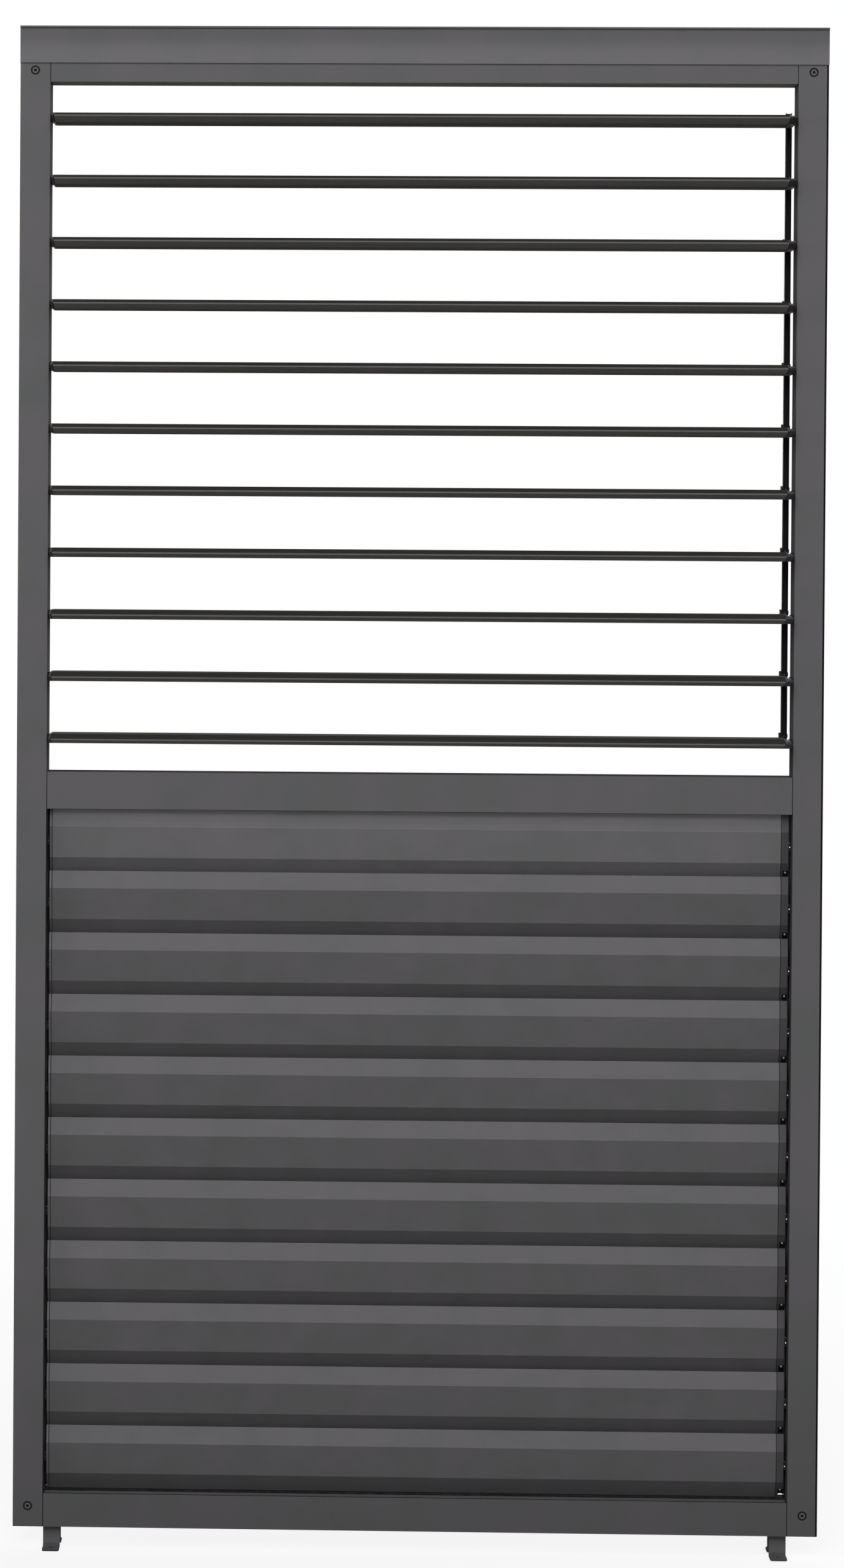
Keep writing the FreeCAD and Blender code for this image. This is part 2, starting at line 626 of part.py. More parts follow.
def make_left_cap():
    """A plate of the blade's outline with a spigot and a pin hole."""
    body = doc.addObject("PartDesign::Body", "left_cap_master")
    outer_x = minus(LEFT_CAP_X)
    plate = new_sketch(body, "left_cap_plate", "YZ_Plane", outer_x)
    draw_polygon(plate, blade_outline(*OUTER_BLADE))
    add_pad(body, plate, "size.left_plate")
    add_spigot(body, "left", f"{outer_x} + size.left_plate")
    hole = new_sketch(body, "left_cap_hole", "YZ_Plane", outer_x)
    draw_circle(hole, ("0", "0"), "size.pivot_pin + 2 * size.pin_room")
    add_pocket(body, hole, "size.left_plate + size.pivot_bite", forwards=True)
    return body


def make_right_cap():
    """A plate with an ear for the crank pin and a block that leaves room for the tie bar."""
    body = doc.addObject("PartDesign::Body", "right_cap_master")
    inner_x = f"{RIGHT_PLATE_X} - size.right_plate"
    plate = new_sketch(body, "right_cap_plate", "YZ_Plane", inner_x)
    draw_polygon(plate, blade_outline(*OUTER_BLADE))
    add_pad(body, plate, "size.right_plate")

    ear = new_sketch(body, "right_cap_ear", "YZ_Plane", inner_x)
    ear_half = "size.ear_width / 2"
    low = (f"{CRANK_REACH} - {ear_half}", "0")
    draw_polygon(ear, rectangle(low, (f"{CRANK_REACH} + {ear_half}", CRANK_RISE)))
    add_pad(body, ear, "size.right_plate")
    eye = new_sketch(body, "right_cap_eye", "YZ_Plane", inner_x)
    draw_circle(eye, (CRANK_REACH, CRANK_RISE), "size.ear_width")
    add_pad(body, eye, "size.right_plate")

    block = new_sketch(body, "right_cap_block", "YZ_Plane", RIGHT_PLATE_X)
    relief = f"({CRANK_RISE} - size.tie_depth / 2 - size.tie_room)"
    reach = f"({CRANK_REACH} - size.tie_depth / 2 - size.tie_room)"
    relief_end = f"{CHORD_HALF} - ({relief} - {NOSE_HALF}) / ({BEVEL_SLOPE})"
    reach_half = f"{NOSE_HALF} + ({CHORD_HALF} - {reach}) * {BEVEL_SLOPE}"
    draw_polygon(block, [
        (minus(CHORD_HALF), minus(NOSE_HALF)), (minus(FLAT_HALF), minus(BLADE_HALF)),
        (FLAT_HALF, minus(BLADE_HALF)), (reach, minus(reach_half)),
        (reach, reach_half), (relief_end, relief),
        (minus(relief_end), relief), (minus(CHORD_HALF), NOSE_HALF),
    ])
    add_pad(body, block, RIGHT_BLOCK)
    add_spigot(body, "right", inner_x)

    hole = new_sketch(body, "right_cap_hole", "YZ_Plane", RIGHT_CAP_X)
    draw_circle(hole, ("0", "0"), "size.pivot_pin + 2 * size.pin_room")
    add_pocket(body, hole, f"{RIGHT_BLOCK} + size.right_plate + size.pivot_bite")
    eye_hole = new_sketch(body, "right_cap_eye_hole", "YZ_Plane", RIGHT_PLATE_X)
    draw_circle(eye_hole, (CRANK_REACH, CRANK_RISE), "size.crank_pin + 2 * size.pin_room")
    add_pocket(body, eye_hole, "size.right_plate + size.overrun")
    return body


def make_pins():
    """The two pivot pins and the crank pin of one blade, along X."""
    upright_to_x = (FreeCAD.Vector(0, 1, 0), 90)
    left_start = f"-({OPENING_X}) - size.pivot_reach"
    left_length = "size.pivot_reach + size.left_gap + size.left_plate + size.pivot_bite"
    left = turn(cylinder("left_pivot_pin", "size.pivot_pin", left_length), *upright_to_x)
    place(left, x=left_start)

    right_start = f"{RIGHT_PLATE_X} - size.right_plate - size.pivot_bite"
    right_length = f"{OPENING_X} + size.pivot_reach - ({right_start})"
    right = turn(cylinder("right_pivot_pin", "size.pivot_pin", right_length), *upright_to_x)
    place(right, x=right_start)

    shank_length = f"size.right_plate + {CRANK_GRIP}"
    shank = cylinder("crank_shank", "size.crank_pin", f"{shank_length} + size.crank_head_height")
    head = cylinder("crank_head_disc", "size.crank_head", "size.crank_head_height")
    place(head, z=shank_length)
    crank = turn(joined("crank_pin_bar", [shank, head]), *upright_to_x)
    place(crank, x=f"{RIGHT_PLATE_X} - size.right_plate", y=CRANK_REACH, z=CRANK_RISE)
    return [left, right, crank]


def make_banks():
    """Every blade with its caps and pins, turned to how its bank stands."""
    blade = make_blade()
    fittings = [make_left_cap(), make_right_cap()] + make_pins()
    for bank, first_pivot in BANKS.items():
        for number in range(int(value("blade_count"))):
            height = f"{first_pivot} - {number} * {BLADE_PITCH}"
            for pieces, kind in (([blade], "blade"), (fittings, "caps")):
                label = f"{bank}_{kind}_{number + 1:02d}"
                item = copy_of(pieces, f"{label}_placed")
                if bank == "lower":
                    turn(item, FreeCAD.Vector(-1, 0, 0), value("lower_rest_angle"))
                place(item, z=height)
                keep(item, label)


def make_tie_bars():
    """One channel for each bank that links the crank pins, hollow side to the front."""
    half_width = "size.tie_width / 2"
    half_depth = "size.tie_depth / 2"
    inner_width = f"{half_width} - size.tie_wall"
    inner_depth = f"{half_depth} - size.tie_wall"
    spots = {
        "upper": (CRANK_REACH, CRANK_RISE),
        "lower": (
            f"{CRANK_REACH} * cos(size.lower_rest_angle) + {CRANK_RISE} * sin(size.lower_rest_angle)",
            f"{CRANK_RISE} * cos(size.lower_rest_angle) - {CRANK_REACH} * sin(size.lower_rest_angle)",
        ),
    }
    for bank, first_pivot in BANKS.items():
        body = doc.addObject("PartDesign::Body", f"{bank}_tie_bar_body")
        profile = new_sketch(body, f"{bank}_tie_profile", "XY_Plane", f"-({BANK_SPAN}) - size.tie_end")
        draw_polygon(profile, [
            (minus(half_width), minus(half_depth)), (minus(inner_width), minus(half_depth)),
            (minus(inner_width), inner_depth), (inner_width, inner_depth),
            (inner_width, minus(half_depth)), (half_width, minus(half_depth)),
            (half_width, half_depth), (minus(half_width), half_depth),
        ])
        add_pad(body, profile, f"{BANK_SPAN} + 2 * size.tie_end")
        hole = new_sketch(body, f"{bank}_tie_hole", "YZ_Plane")
        draw_circle(hole, ("0", "0"), "size.crank_pin + 2 * size.running_clearance")
        cut = add_pocket(body, hole, "size.tie_width + 2 * size.overrun", side="Symmetric")
        repeat_down(body, cut)
        y, rise = spots[bank]
        place(body, x=f"{RIGHT_PLATE_X} + size.tie_play + {half_width}", y=y, z=f"{first_pivot} + {rise}")
        keep(body, f"{bank}_tie_bar")


def check_document():
    """Stop if any object failed or any piece has no sound shape."""
    for item in doc.Objects:
        if {"Invalid", "Error"} & set(item.State):
            raise RuntimeError(f"{item.Name} failed: {item.State}")
    for item in nodes:
        if item.Shape.isNull() or not item.Shape.isValid() or not item.Shape.Solids:
            raise RuntimeError(f"{item.Label} has no sound shape")


def write_parts():
    """Write each piece, or each group of equal pieces, to a file of its own."""
    os.makedirs("parts", exist_ok=True)
    for item in nodes:
        solids = item.Shape.Solids
        shape = solids[0] if len(solids) == 1 else Part.makeCompound(solids)
        shape.exportStep(f"parts/{item.Label}.step")
        print(f"{item.Label}: {len(solids)} solid(s), {item.Shape.Volume / 1000:.1f} cm3")


fill_sheet()
for panel_side in SIDES:
    make_stile(panel_side)
    make_bushes(panel_side)
    make_foot(panel_side)
for panel_rail in RAILS:
    make_rail(panel_rail)
make_head_channel()
make_keys()
make_corner_screws()
make_foot_bolts()
make_banks()
make_tie_bars()
doc.recompute()
check_document()
write_parts()
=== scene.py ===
# %% [markdown]
# # A louvred screen panel, dressed for a picture
# The panel is a frame of aluminium tube with two banks of turning blades. Its shapes come from the CAD
# model, which is loaded here as a fixed frame in metres. This lesson gives every piece the finish of the
# real one, adds the small trim, and sets up floor, light and camera.
# Nothing that is added may stand outside it.

# %% Load the frame
import json
import math
import bpy
from mathutils import Matrix, Vector


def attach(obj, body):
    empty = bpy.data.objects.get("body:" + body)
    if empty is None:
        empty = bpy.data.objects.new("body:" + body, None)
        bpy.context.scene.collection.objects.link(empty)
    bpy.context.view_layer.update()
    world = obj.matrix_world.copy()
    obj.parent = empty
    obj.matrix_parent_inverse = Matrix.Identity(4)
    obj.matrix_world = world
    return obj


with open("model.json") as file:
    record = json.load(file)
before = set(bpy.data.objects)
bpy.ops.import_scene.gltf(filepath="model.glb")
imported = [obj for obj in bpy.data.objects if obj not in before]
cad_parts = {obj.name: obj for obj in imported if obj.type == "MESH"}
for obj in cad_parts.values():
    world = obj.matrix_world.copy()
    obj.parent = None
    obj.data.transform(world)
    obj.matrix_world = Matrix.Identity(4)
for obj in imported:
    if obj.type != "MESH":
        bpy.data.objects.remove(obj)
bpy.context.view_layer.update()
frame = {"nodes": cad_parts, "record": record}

nodes = frame["nodes"]
bpy.ops.object.select_all(action="DESELECT")

# %% [markdown]
# ## Where the picture is taken from
# The picture is taken from a few steps away and from eye height, with a long lens, turned a little to one
# side and not quite level. A camera could be aimed by eye, but the four corners, the screws and the rows of
# blades give enough points to solve for it. The image is tall, so the sensor width is the tall side. A small
# shift stands for the way that the picture was cropped.

# %% Camera
IMAGE_SIZE = (1387, 2576)
FOCAL_PIXELS = 5572.1
SENSOR_MM = 36.0
EYE = Vector((-0.1079, -5.0693, 1.5212))
YAW, PITCH, ROLL = -0.0243, -0.0120, 0.0064
SHIFT_ACROSS, SHIFT_UP = 0.10, -0.1337

camera_data = bpy.data.cameras.new("picture_camera")
camera_data.sensor_fit = "AUTO"
camera_data.sensor_width = SENSOR_MM
camera_data.lens = FOCAL_PIXELS / max(IMAGE_SIZE) * SENSOR_MM
camera_data.shift_x = SHIFT_ACROSS
camera_data.shift_y = SHIFT_UP
camera = bpy.data.objects.new("picture_camera", camera_data)
bpy.context.scene.collection.objects.link(camera)
turned = Matrix.Rotation(-YAW, 4, "Z")
tilted = Matrix.Rotation(math.pi / 2 + PITCH, 4, "X")
rolled = Matrix.Rotation(ROLL, 4, "Z")
camera.matrix_world = Matrix.Translation(EYE) @ (turned @ tilted @ rolled)
bpy.context.scene.camera = camera
print("lens in mm:", round(camera_data.lens, 2))

# %% [markdown]
# ## White room
# The picture stands on plain white. The world shows white to the camera and to reflections, and gives only a
# soft fill to everything else, so the white costs the object no contrast. The mixing is done with the
# Light Path node, which knows what kind of ray is asking.

# %% Helpers for what is seen
WHITE = (1.0, 1.0, 1.0, 1.0)


def seen_directly(tree):
    """One socket that is 1 for rays from the camera, from a reflection or through glass."""
    path = tree.nodes.new("ShaderNodeLightPath")
    seen = path.outputs["Is Camera Ray"]
    for ray in ("Is Glossy Ray", "Is Transmission Ray"):
        either = tree.nodes.new("ShaderNodeMath")
        either.operation = "MAXIMUM"
        tree.links.new(seen, either.inputs[0])
        tree.links.new(path.outputs[ray], either.inputs[1])
        seen = either.outputs[0]
    return seen


def mixed_shader(tree, amount, first, second):
    """Goes from the first shader to the second by an amount."""
    mix = tree.nodes.new("ShaderNodeMixShader")
    for source, socket in zip((amount, first, second), mix.inputs):
        tree.links.new(source, socket)
    return mix.outputs[0]


def plain_shader(tree, kind, colour, strength=None):
    """A shader of one colour and, where it gives light, of one strength."""
    shader = tree.nodes.new(kind)
    shader.inputs["Color"].default_value = colour
    if strength is not None:
        shader.inputs["Strength"].default_value = strength
    return shader.outputs[0]


print("helpers for what is seen are ready")

# %% World
FILL_LIGHT = 0.10
FILL_COLOUR = (0.93, 0.96, 1.0, 1.0)

world = bpy.data.worlds.new("white_room")
world.use_nodes = True
bpy.context.scene.world = world
room = world.node_tree
room.nodes.clear()
fill = plain_shader(room, "ShaderNodeBackground", FILL_COLOUR, FILL_LIGHT)
white = plain_shader(room, "ShaderNodeBackground", WHITE, 1.0)
room_out = room.nodes.new("ShaderNodeOutputWorld")
room.links.new(mixed_shader(room, seen_directly(room), fill, white), room_out.inputs["Surface"])
bpy.context.scene.view_settings.view_transform = "Standard"
print("fill light:", FILL_LIGHT)

# %% [markdown]
# ## Floor
# The panel stands on a pale floor that runs into the white room with no edge. Close to the feet the floor is
# part paint and part glow, so that the shadow of the panel stays on it. Farther out it is all glow, which
# hides the horizon. A darker paint, which only the bounced light meets, keeps the floor from lighting the
# panel from below. A disc with its rim far away is enough.

# %% Floor disc
FLOOR_RADIUS = 30.0
FLOOR_CORNERS = 96

bpy.ops.mesh.primitive_circle_add(vertices=FLOOR_CORNERS, radius=FLOOR_RADIUS, fill_type="NGON",
                                  location=(0, 0, 0))
floor = bpy.context.active_object
floor.name = "studio_floor"
print("floor radius in m:", FLOOR_RADIUS)

# %% Floor paint
SHADOW_NEAR, SHADOW_FAR = 0.9, 3.2
SHADOW_SHARE = 0.18
SHADOW_PAINT = (0.86, 0.86, 0.86, 1.0)
BOUNCE_PAINT = (0.34, 0.34, 0.33, 1.0)

floor_paint = bpy.data.materials.new("pale_floor")
floor_paint.use_nodes = True
tree = floor_paint.node_tree
tree.nodes.clear()
place = tree.nodes.new("ShaderNodeTexCoord")
reach = tree.nodes.new("ShaderNodeVectorMath")
reach.operation = "LENGTH"
fade = tree.nodes.new("ShaderNodeMapRange")
fade.inputs["From Min"].default_value = SHADOW_NEAR
fade.inputs["From Max"].default_value = SHADOW_FAR
fade.inputs["To Min"].default_value = SHADOW_SHARE
fade.inputs["To Max"].default_value = 0.0
tree.links.new(place.outputs["Object"], reach.inputs[0])
tree.links.new(reach.outputs["Value"], fade.inputs["Value"])
glow = plain_shader(tree, "ShaderNodeEmission", WHITE, 1.0)
shadowed = plain_shader(tree, "ShaderNodeBsdfDiffuse", SHADOW_PAINT)
seen_floor = mixed_shader(tree, fade.outputs["Result"], glow, shadowed)
bounce = plain_shader(tree, "ShaderNodeBsdfDiffuse", BOUNCE_PAINT)
floor_out = tree.nodes.new("ShaderNodeOutputMaterial")
tree.links.new(mixed_shader(tree, seen_directly(tree), bounce, seen_floor), floor_out.inputs["Surface"])
floor.data.materials.append(floor_paint)
print("finish:", floor_paint.name)

# %% [markdown]
# ## Light
# In the picture the top of the panel is lighter than its foot, the bevels that look up are lightest and those
# that look down are dark. That is one broad light, high up in front. A small lamp would draw hard shadows
# under each blade, so an area lamp of a few metres is used. Two weak lamps, one lower in front and one far to
# the left, reach under the rails and into the inner side of the right stile, and two more light the back and
# the right-hand side for other views.

# %% Lamps
PANEL_MIDDLE = Vector((0.0, 0.0, 1.2))


def soft_lamp(name, at, size, watts):
    """A square area lamp that looks at the middle of the panel."""
    data = bpy.data.lights.new(name, "AREA")
    data.shape = "SQUARE"
    data.size = size
    data.energy = watts
    lamp = bpy.data.objects.new(name, data)
    bpy.context.scene.collection.objects.link(lamp)
    look = (PANEL_MIDDLE - Vector(at)).to_track_quat("-Z", "Y")
    lamp.matrix_world = Matrix.Translation(at) @ look.to_matrix().to_4x4()
    print(name, "watts:", watts)


soft_lamp("high_front_light", at=(-0.4, -5.2, 5.4), size=4.6, watts=318.0)
soft_lamp("front_fill_light", at=(0.6, -6.0, 2.8), size=3.0, watts=50.0)
soft_lamp("left_side_light", at=(-6.0, -1.4, 2.6), size=2.5, watts=90.0)
soft_lamp("right_side_light", at=(6.0, 0.9, 2.8), size=2.5, watts=170.0)
soft_lamp("back_light", at=(0.9, 5.8, 3.0), size=3.5, watts=240.0)

# %% [markdown]
# ## Tools for the finishes
# Every finish below is made of the same few steps: read the place on the piece, spread noise over it, and
# turn the noise into colour, roughness or tiny relief. Short helpers for these steps keep each finish
# readable. All of them read Object coordinates, in metres, so a pattern keeps its size on every piece.

# %% Helpers for a new finish
def new_finish(name):
    """An empty material with a Principled shader, and its tree."""
    finish = bpy.data.materials.new(name)
    finish.use_nodes = True
    finish.node_tree.nodes.clear()
    shader = finish.node_tree.nodes.new("ShaderNodeBsdfPrincipled")
    out = finish.node_tree.nodes.new("ShaderNodeOutputMaterial")
    finish.node_tree.links.new(shader.outputs["BSDF"], out.inputs["Surface"])
    return finish, finish.node_tree, shader


def on_piece(tree, stretch=(1.0, 1.0, 1.0)):
    """The place on the piece in metres, stretched along an axis where a pattern has a direction."""
    coordinates = tree.nodes.new("ShaderNodeTexCoord")
    mapping = tree.nodes.new("ShaderNodeMapping")
    mapping.inputs["Scale"].default_value = stretch
    tree.links.new(coordinates.outputs["Object"], mapping.inputs["Vector"])
    return mapping.outputs["Vector"]


def noise(tree, where, per_metre, detail=2.0, rough=0.5):
    """Cloudy noise from 0 to 1, with so many clouds in a metre."""
    texture = tree.nodes.new("ShaderNodeTexNoise")
    texture.inputs["Scale"].default_value = per_metre
    texture.inputs["Detail"].default_value = detail
    texture.inputs["Roughness"].default_value = rough
    tree.links.new(where, texture.inputs["Vector"])
    return texture.outputs["Fac"]


def relief(tree, shader, height, depth, strength):
    """Tiny relief from a value from 0 to 1, so many metres deep."""
    bump = tree.nodes.new("ShaderNodeBump")
    bump.inputs["Strength"].default_value = strength
    bump.inputs["Distance"].default_value = depth
    tree.links.new(height, bump.inputs["Height"])
    tree.links.new(bump.outputs["Normal"], shader.inputs["Normal"])


print("helpers for a new finish are ready")

# %% Helpers for values
def spread(tree, amount, low, high, to_low=0.0, to_high=1.0):
    """Takes the range low to high of a value to another range, and holds it there."""
    ranged = tree.nodes.new("ShaderNodeMapRange")
    ranged.inputs["From Min"].default_value = low
    ranged.inputs["From Max"].default_value = high
    ranged.inputs["To Min"].default_value = to_low
    ranged.inputs["To Max"].default_value = to_high
    tree.links.new(amount, ranged.inputs["Value"])
    return ranged.outputs["Result"]


def reckoned(tree, operation, first, second=0.0):
    """A Math node over two values. The second may be a socket or a plain number."""
    node = tree.nodes.new("ShaderNodeMath")
    node.operation = operation
    tree.links.new(first, node.inputs[0])
    if isinstance(second, float):
        node.inputs[1].default_value = second
    else:
        tree.links.new(second, node.inputs[1])
    return node.outputs[0]


def total(tree, first, second):
    """One value added to another."""
    return reckoned(tree, "ADD", first, second)


def product(tree, first, second):
    """One value times another."""
    return reckoned(tree, "MULTIPLY", first, second)


print("helpers for values are ready")

# %% Helpers for colours
def grey(level):
    """A plain grey as a colour."""
    return (level, level, level)


def colours(tree, amount, stops):
    """A colour ramp over a value, given as (place, colour) stops."""
    ramp = tree.nodes.new("ShaderNodeValToRGB")
    while len(ramp.color_ramp.elements) < len(stops):
        ramp.color_ramp.elements.new(0.5)
    for element, (at, colour) in zip(ramp.color_ramp.elements, stops):
        element.position = at
        element.color = (*colour, 1.0)
    tree.links.new(amount, ramp.inputs["Fac"])
    return ramp.outputs["Color"]


def blended(tree, amount, first, second):
    """Goes from the first colour to the second by an amount. Either may be a socket or a plain colour."""
    mix = tree.nodes.new("ShaderNodeMix")
    mix.data_type = "RGBA"
    tree.links.new(amount, mix.inputs["Factor"])
    for source, socket in ((first, mix.inputs[6]), (second, mix.inputs[7])):
        if isinstance(source, tuple):
            socket.default_value = (*source, 1.0)
        else:
            tree.links.new(source, socket)
    return mix.outputs[2]


def stain_and_shade(tree, coat, film):
    """One colour laid over another, both for a thin stain and for painted light and shade."""
    mix = tree.nodes.new("ShaderNodeMix")
    mix.data_type = "RGBA"
    mix.blend_type = "MULTIPLY"
    mix.inputs["Factor"].default_value = 1.0
    tree.links.new(coat, mix.inputs[6])
    tree.links.new(film, mix.inputs[7])
    return mix.outputs[2]


print("helpers for colours are ready")

# %% [markdown]
# ## Powder coat
# The frame and the blades are aluminium, sprayed with grey powder that is melted to a dull skin. The skin is
# never quite even: it has a fine orange peel, slightly warmer and cooler clouds, and it is thinner and
# lighter along sharp edges. The clouds are slow noise, the peel is fine noise in the bump, and the edges are
# found with the Bevel node, which compares the true normal with a rounded one.

# %% Edge finder
EDGE_RADIUS = 0.0011


def worn_edges(tree):
    """A value that is 1 on sharp edges and 0 on flat faces."""
    rounded = tree.nodes.new("ShaderNodeBevel")
    rounded.samples = 4
    rounded.inputs["Radius"].default_value = EDGE_RADIUS
    flat = tree.nodes.new("ShaderNodeNewGeometry")
    alike = tree.nodes.new("ShaderNodeVectorMath")
    alike.operation = "DOT_PRODUCT"
    tree.links.new(rounded.outputs["Normal"], alike.inputs[0])
    tree.links.new(flat.outputs["True Normal"], alike.inputs[1])
    return spread(tree, alike.outputs["Value"], 0.99, 0.85)


print("edge finder ready, radius in m:", EDGE_RADIUS)

# %% Powder coat finish
COAT_COOL = (0.112, 0.113, 0.116)
COAT_WARM = (0.125, 0.118, 0.125)
COAT_EDGE = (0.180, 0.176, 0.182)
CLOUDS_PER_METRE = 9.0
SHEEN_PER_METRE = 35.0
SCUFFS_PER_METRE = 60.0
PEEL_PER_METRE = 330.0
GRAIN_PER_METRE = 900.0
PEEL_DEPTH = 0.00006


def powder_coat(name, lightness, weather_and_light=None):
    """Powder coat without gloss, lighter or darker by one share. A step of weathering and painted light may
    change its colour.
    """
    cool, warm, edge = (tuple(lightness * v for v in colour) for colour in (COAT_COOL, COAT_WARM, COAT_EDGE))
    finish, tree, shader = new_finish(name)
    where = on_piece(tree)
    clouds = noise(tree, where, CLOUDS_PER_METRE, 3.0, 0.55)
    grain = noise(tree, where, GRAIN_PER_METRE, 2.0, 0.6)
    tint = blended(tree, spread(tree, clouds, 0.35, 0.65), cool, warm)
    speckle = blended(tree, spread(tree, grain, 0.30, 0.75, 0.0, 0.16), tint, edge)
    patches = spread(tree, noise(tree, where, SCUFFS_PER_METRE), 0.35, 0.7)
    scuffs = product(tree, worn_edges(tree), patches)
    coat = blended(tree, product(tree, scuffs, 0.55), speckle, edge)
    if weather_and_light:
        coat = weather_and_light(tree, coat, where)
    tree.links.new(coat, shader.inputs["Base Color"])
    sheen = noise(tree, where, SHEEN_PER_METRE, 3.0)
    tree.links.new(spread(tree, sheen, 0.3, 0.7, 0.46, 0.58), shader.inputs["Roughness"])
    shader.inputs["Specular IOR Level"].default_value = 0.0
    peel = total(tree, product(tree, grain, 0.6), noise(tree, where, PEEL_PER_METRE, 1.0))
    relief(tree, shader, peel, PEEL_DEPTH, 0.6)
    print("finish:", name)
    return finish


frame_coat = powder_coat("grey_powder_coat", 1.0)

# %% [markdown]
# ## Measuring the CAD pieces
# Dark lines and painted shade lie along edges, a black strip lies against a rail and a rivet sits on a bar,
# so the next steps need to know where the CAD pieces start and end. Those places could be typed in, but a
# typed number is wrong as soon as the model changes. They are read from the meshes instead, which hold the
# panel at rest, in its place and in metres.

# %% Spans of the pieces
X, Y, Z = range(3)


def span(name, axis):
    """Where a CAD piece starts and ends along an axis."""
    places = [vertex.co[axis] for vertex in nodes[name].data.vertices]
    return min(places), max(places)


def middle(name, axis):
    """Half way between the two ends of a CAD piece along an axis."""
    return sum(span(name, axis)) / 2


RAIL_END = span("mid_rail", X)[1]
RAIL_UNDERSIDE = span("mid_rail", Z)[0]
print("end of the rails:", round(RAIL_END, 4), "underside of the mid rail:", round(RAIL_UNDERSIDE, 4))

# %% [markdown]
# ## Joints and tops of the rails
# The rails are cut square and butt against the stiles. Powder does not reach into the joint, so each one
# shows as a thin dark line. The level tops are painted dark as shade, darkest along the front edge, the
# undersides are painted lighter in place of light from below, and the foot of the frame is painted darker as
# shade. The line could be a groove in the mesh, but the rails come from the CAD model and stay as they are,
# so their coat darkens within a millimetre of the ends, and follows the height and the direction that a face
# looks in.

# %% Helpers for weathering and painted shade
LOW_SHADE_FILM = [(0.06, grey(0.80)), (0.62, grey(1.0))]


def parted(tree, vector):
    """The X, Y and Z of a vector as three sockets."""
    axes = tree.nodes.new("ShaderNodeSeparateXYZ")
    tree.links.new(vector, axes.inputs[0])
    return axes.outputs["X"], axes.outputs["Y"], axes.outputs["Z"]


def facing_up(tree):
    """How far a face looks up on its piece, from 0 for down to 1 for up."""
    coordinates = tree.nodes.new("ShaderNodeTexCoord")
    return spread(tree, parted(tree, coordinates.outputs["Normal"])[Z], -1.0, 1.0)


def painted_low_shade(tree, coat, where):
    """Painted shade: the frame is a little darker towards its foot, where less light reaches it."""
    uneven = product(tree, noise(tree, where, per_metre=14.0, detail=3.0), 0.08)
    height = total(tree, parted(tree, where)[Z], uneven)
    return stain_and_shade(tree, coat, colours(tree, height, LOW_SHADE_FILM))


print("helpers for weather are ready")

# %% Rail coat
JOINT_WIDTH, JOINT_CORE, JOINT_WANDER = 0.0012, 0.00048, 0.0004
JOINT_DARK = (0.022, 0.021, 0.023)
SILL_LINE, SILL_BLUR = -0.0115, 0.002
SILL_SHADE, SILL_EDGE_SHADE = (0.014, 0.014, 0.013), grey(0.005)
UNDERSIDE_LIGHT = (0.300, 0.300, 0.275)


def dark_joint(tree, coat, where):
    """A thin dark line at both ends of a rail."""
    out = reckoned(tree, "ABSOLUTE", parted(tree, where)[X])
    wander = product(tree, noise(tree, where, per_metre=220.0), JOINT_WANDER)
    near_end = spread(tree, total(tree, wander, out), RAIL_END - JOINT_WIDTH, RAIL_END - JOINT_CORE)
    return blended(tree, near_end, coat, JOINT_DARK)


def painted_sill_shade(tree, coat, where):
    """Painted shade on the level top of a rail, darkest in front of the sill line."""
    level = spread(tree, facing_up(tree), 0.88, 0.97)
    patches = noise(tree, where, per_metre=70.0, detail=3.0)
    patchy = product(tree, level, spread(tree, patches, 0.3, 0.7, 0.82, 1.0))
    front = spread(tree, parted(tree, where)[Y], SILL_LINE, SILL_LINE - SILL_BLUR)
    return blended(tree, patchy, coat, blended(tree, front, SILL_SHADE, SILL_EDGE_SHADE))


def rail_light_shade_and_joints(tree, coat, where):
    """A painted lighter underside, painted shade on the top and towards the foot, and dark joints."""
    # Painted light on the underside, painted shade on the top.
    lit_from_below = spread(tree, facing_up(tree), 0.12, 0.03)
    with_underside_light = blended(tree, lit_from_below, painted_low_shade(tree, coat, where), UNDERSIDE_LIGHT)
    return dark_joint(tree, painted_sill_shade(tree, with_underside_light, where), where)


rail_coat = powder_coat("grey_rail_coat", 1.0, rail_light_shade_and_joints)

# %% [markdown]
# ## Feet
# The feet stand where the rain runs off, so dirt clings to the edges of their toes and thins out a few
# millimetres up. It has no thickness that shows, so no mesh is added for it: a colour ramp over the height is
# laid over the coat like a stain.

# %% Foot coat
DIRT_REACH = 0.008
DIRT_FILM = [(0.25, grey(0.42)), (0.29, grey(0.72)), (0.60, grey(0.76)), (0.85, grey(1.0))]


def ground_dirt(tree, coat, where):
    """Dark at the edge that meets the floor, and clean a little higher."""
    height = spread(tree, parted(tree, where)[Z], 0.0, DIRT_REACH)
    return stain_and_shade(tree, coat, colours(tree, height, DIRT_FILM))


foot_coat = powder_coat("grey_foot_coat", 1.0, ground_dirt)

# %% [markdown]
# ## Head channel
# The channel over the frame was sprayed by itself and came out a shade lighter than the rails. Its front is
# painted dark at the upper edge, as shade under its lip, and painted light at the lower one. A colour ramp
# over the height gives that too.

# %% Head coat
LIP_SHADE_FILM = [(0.132, grey(1.09)), (0.389, grey(1.04)), (0.657, grey(0.85)), (1.0, grey(0.80))]


def painted_lip_shade(tree, coat, where):
    """Painted shade at the top of the channel and painted light at its lower edge."""
    height = spread(tree, parted(tree, where)[Z], *span("head_channel", Z))
    return stain_and_shade(tree, coat, colours(tree, height, LIP_SHADE_FILM))


head_coat = powder_coat("grey_head_coat", 1.16, painted_lip_shade)

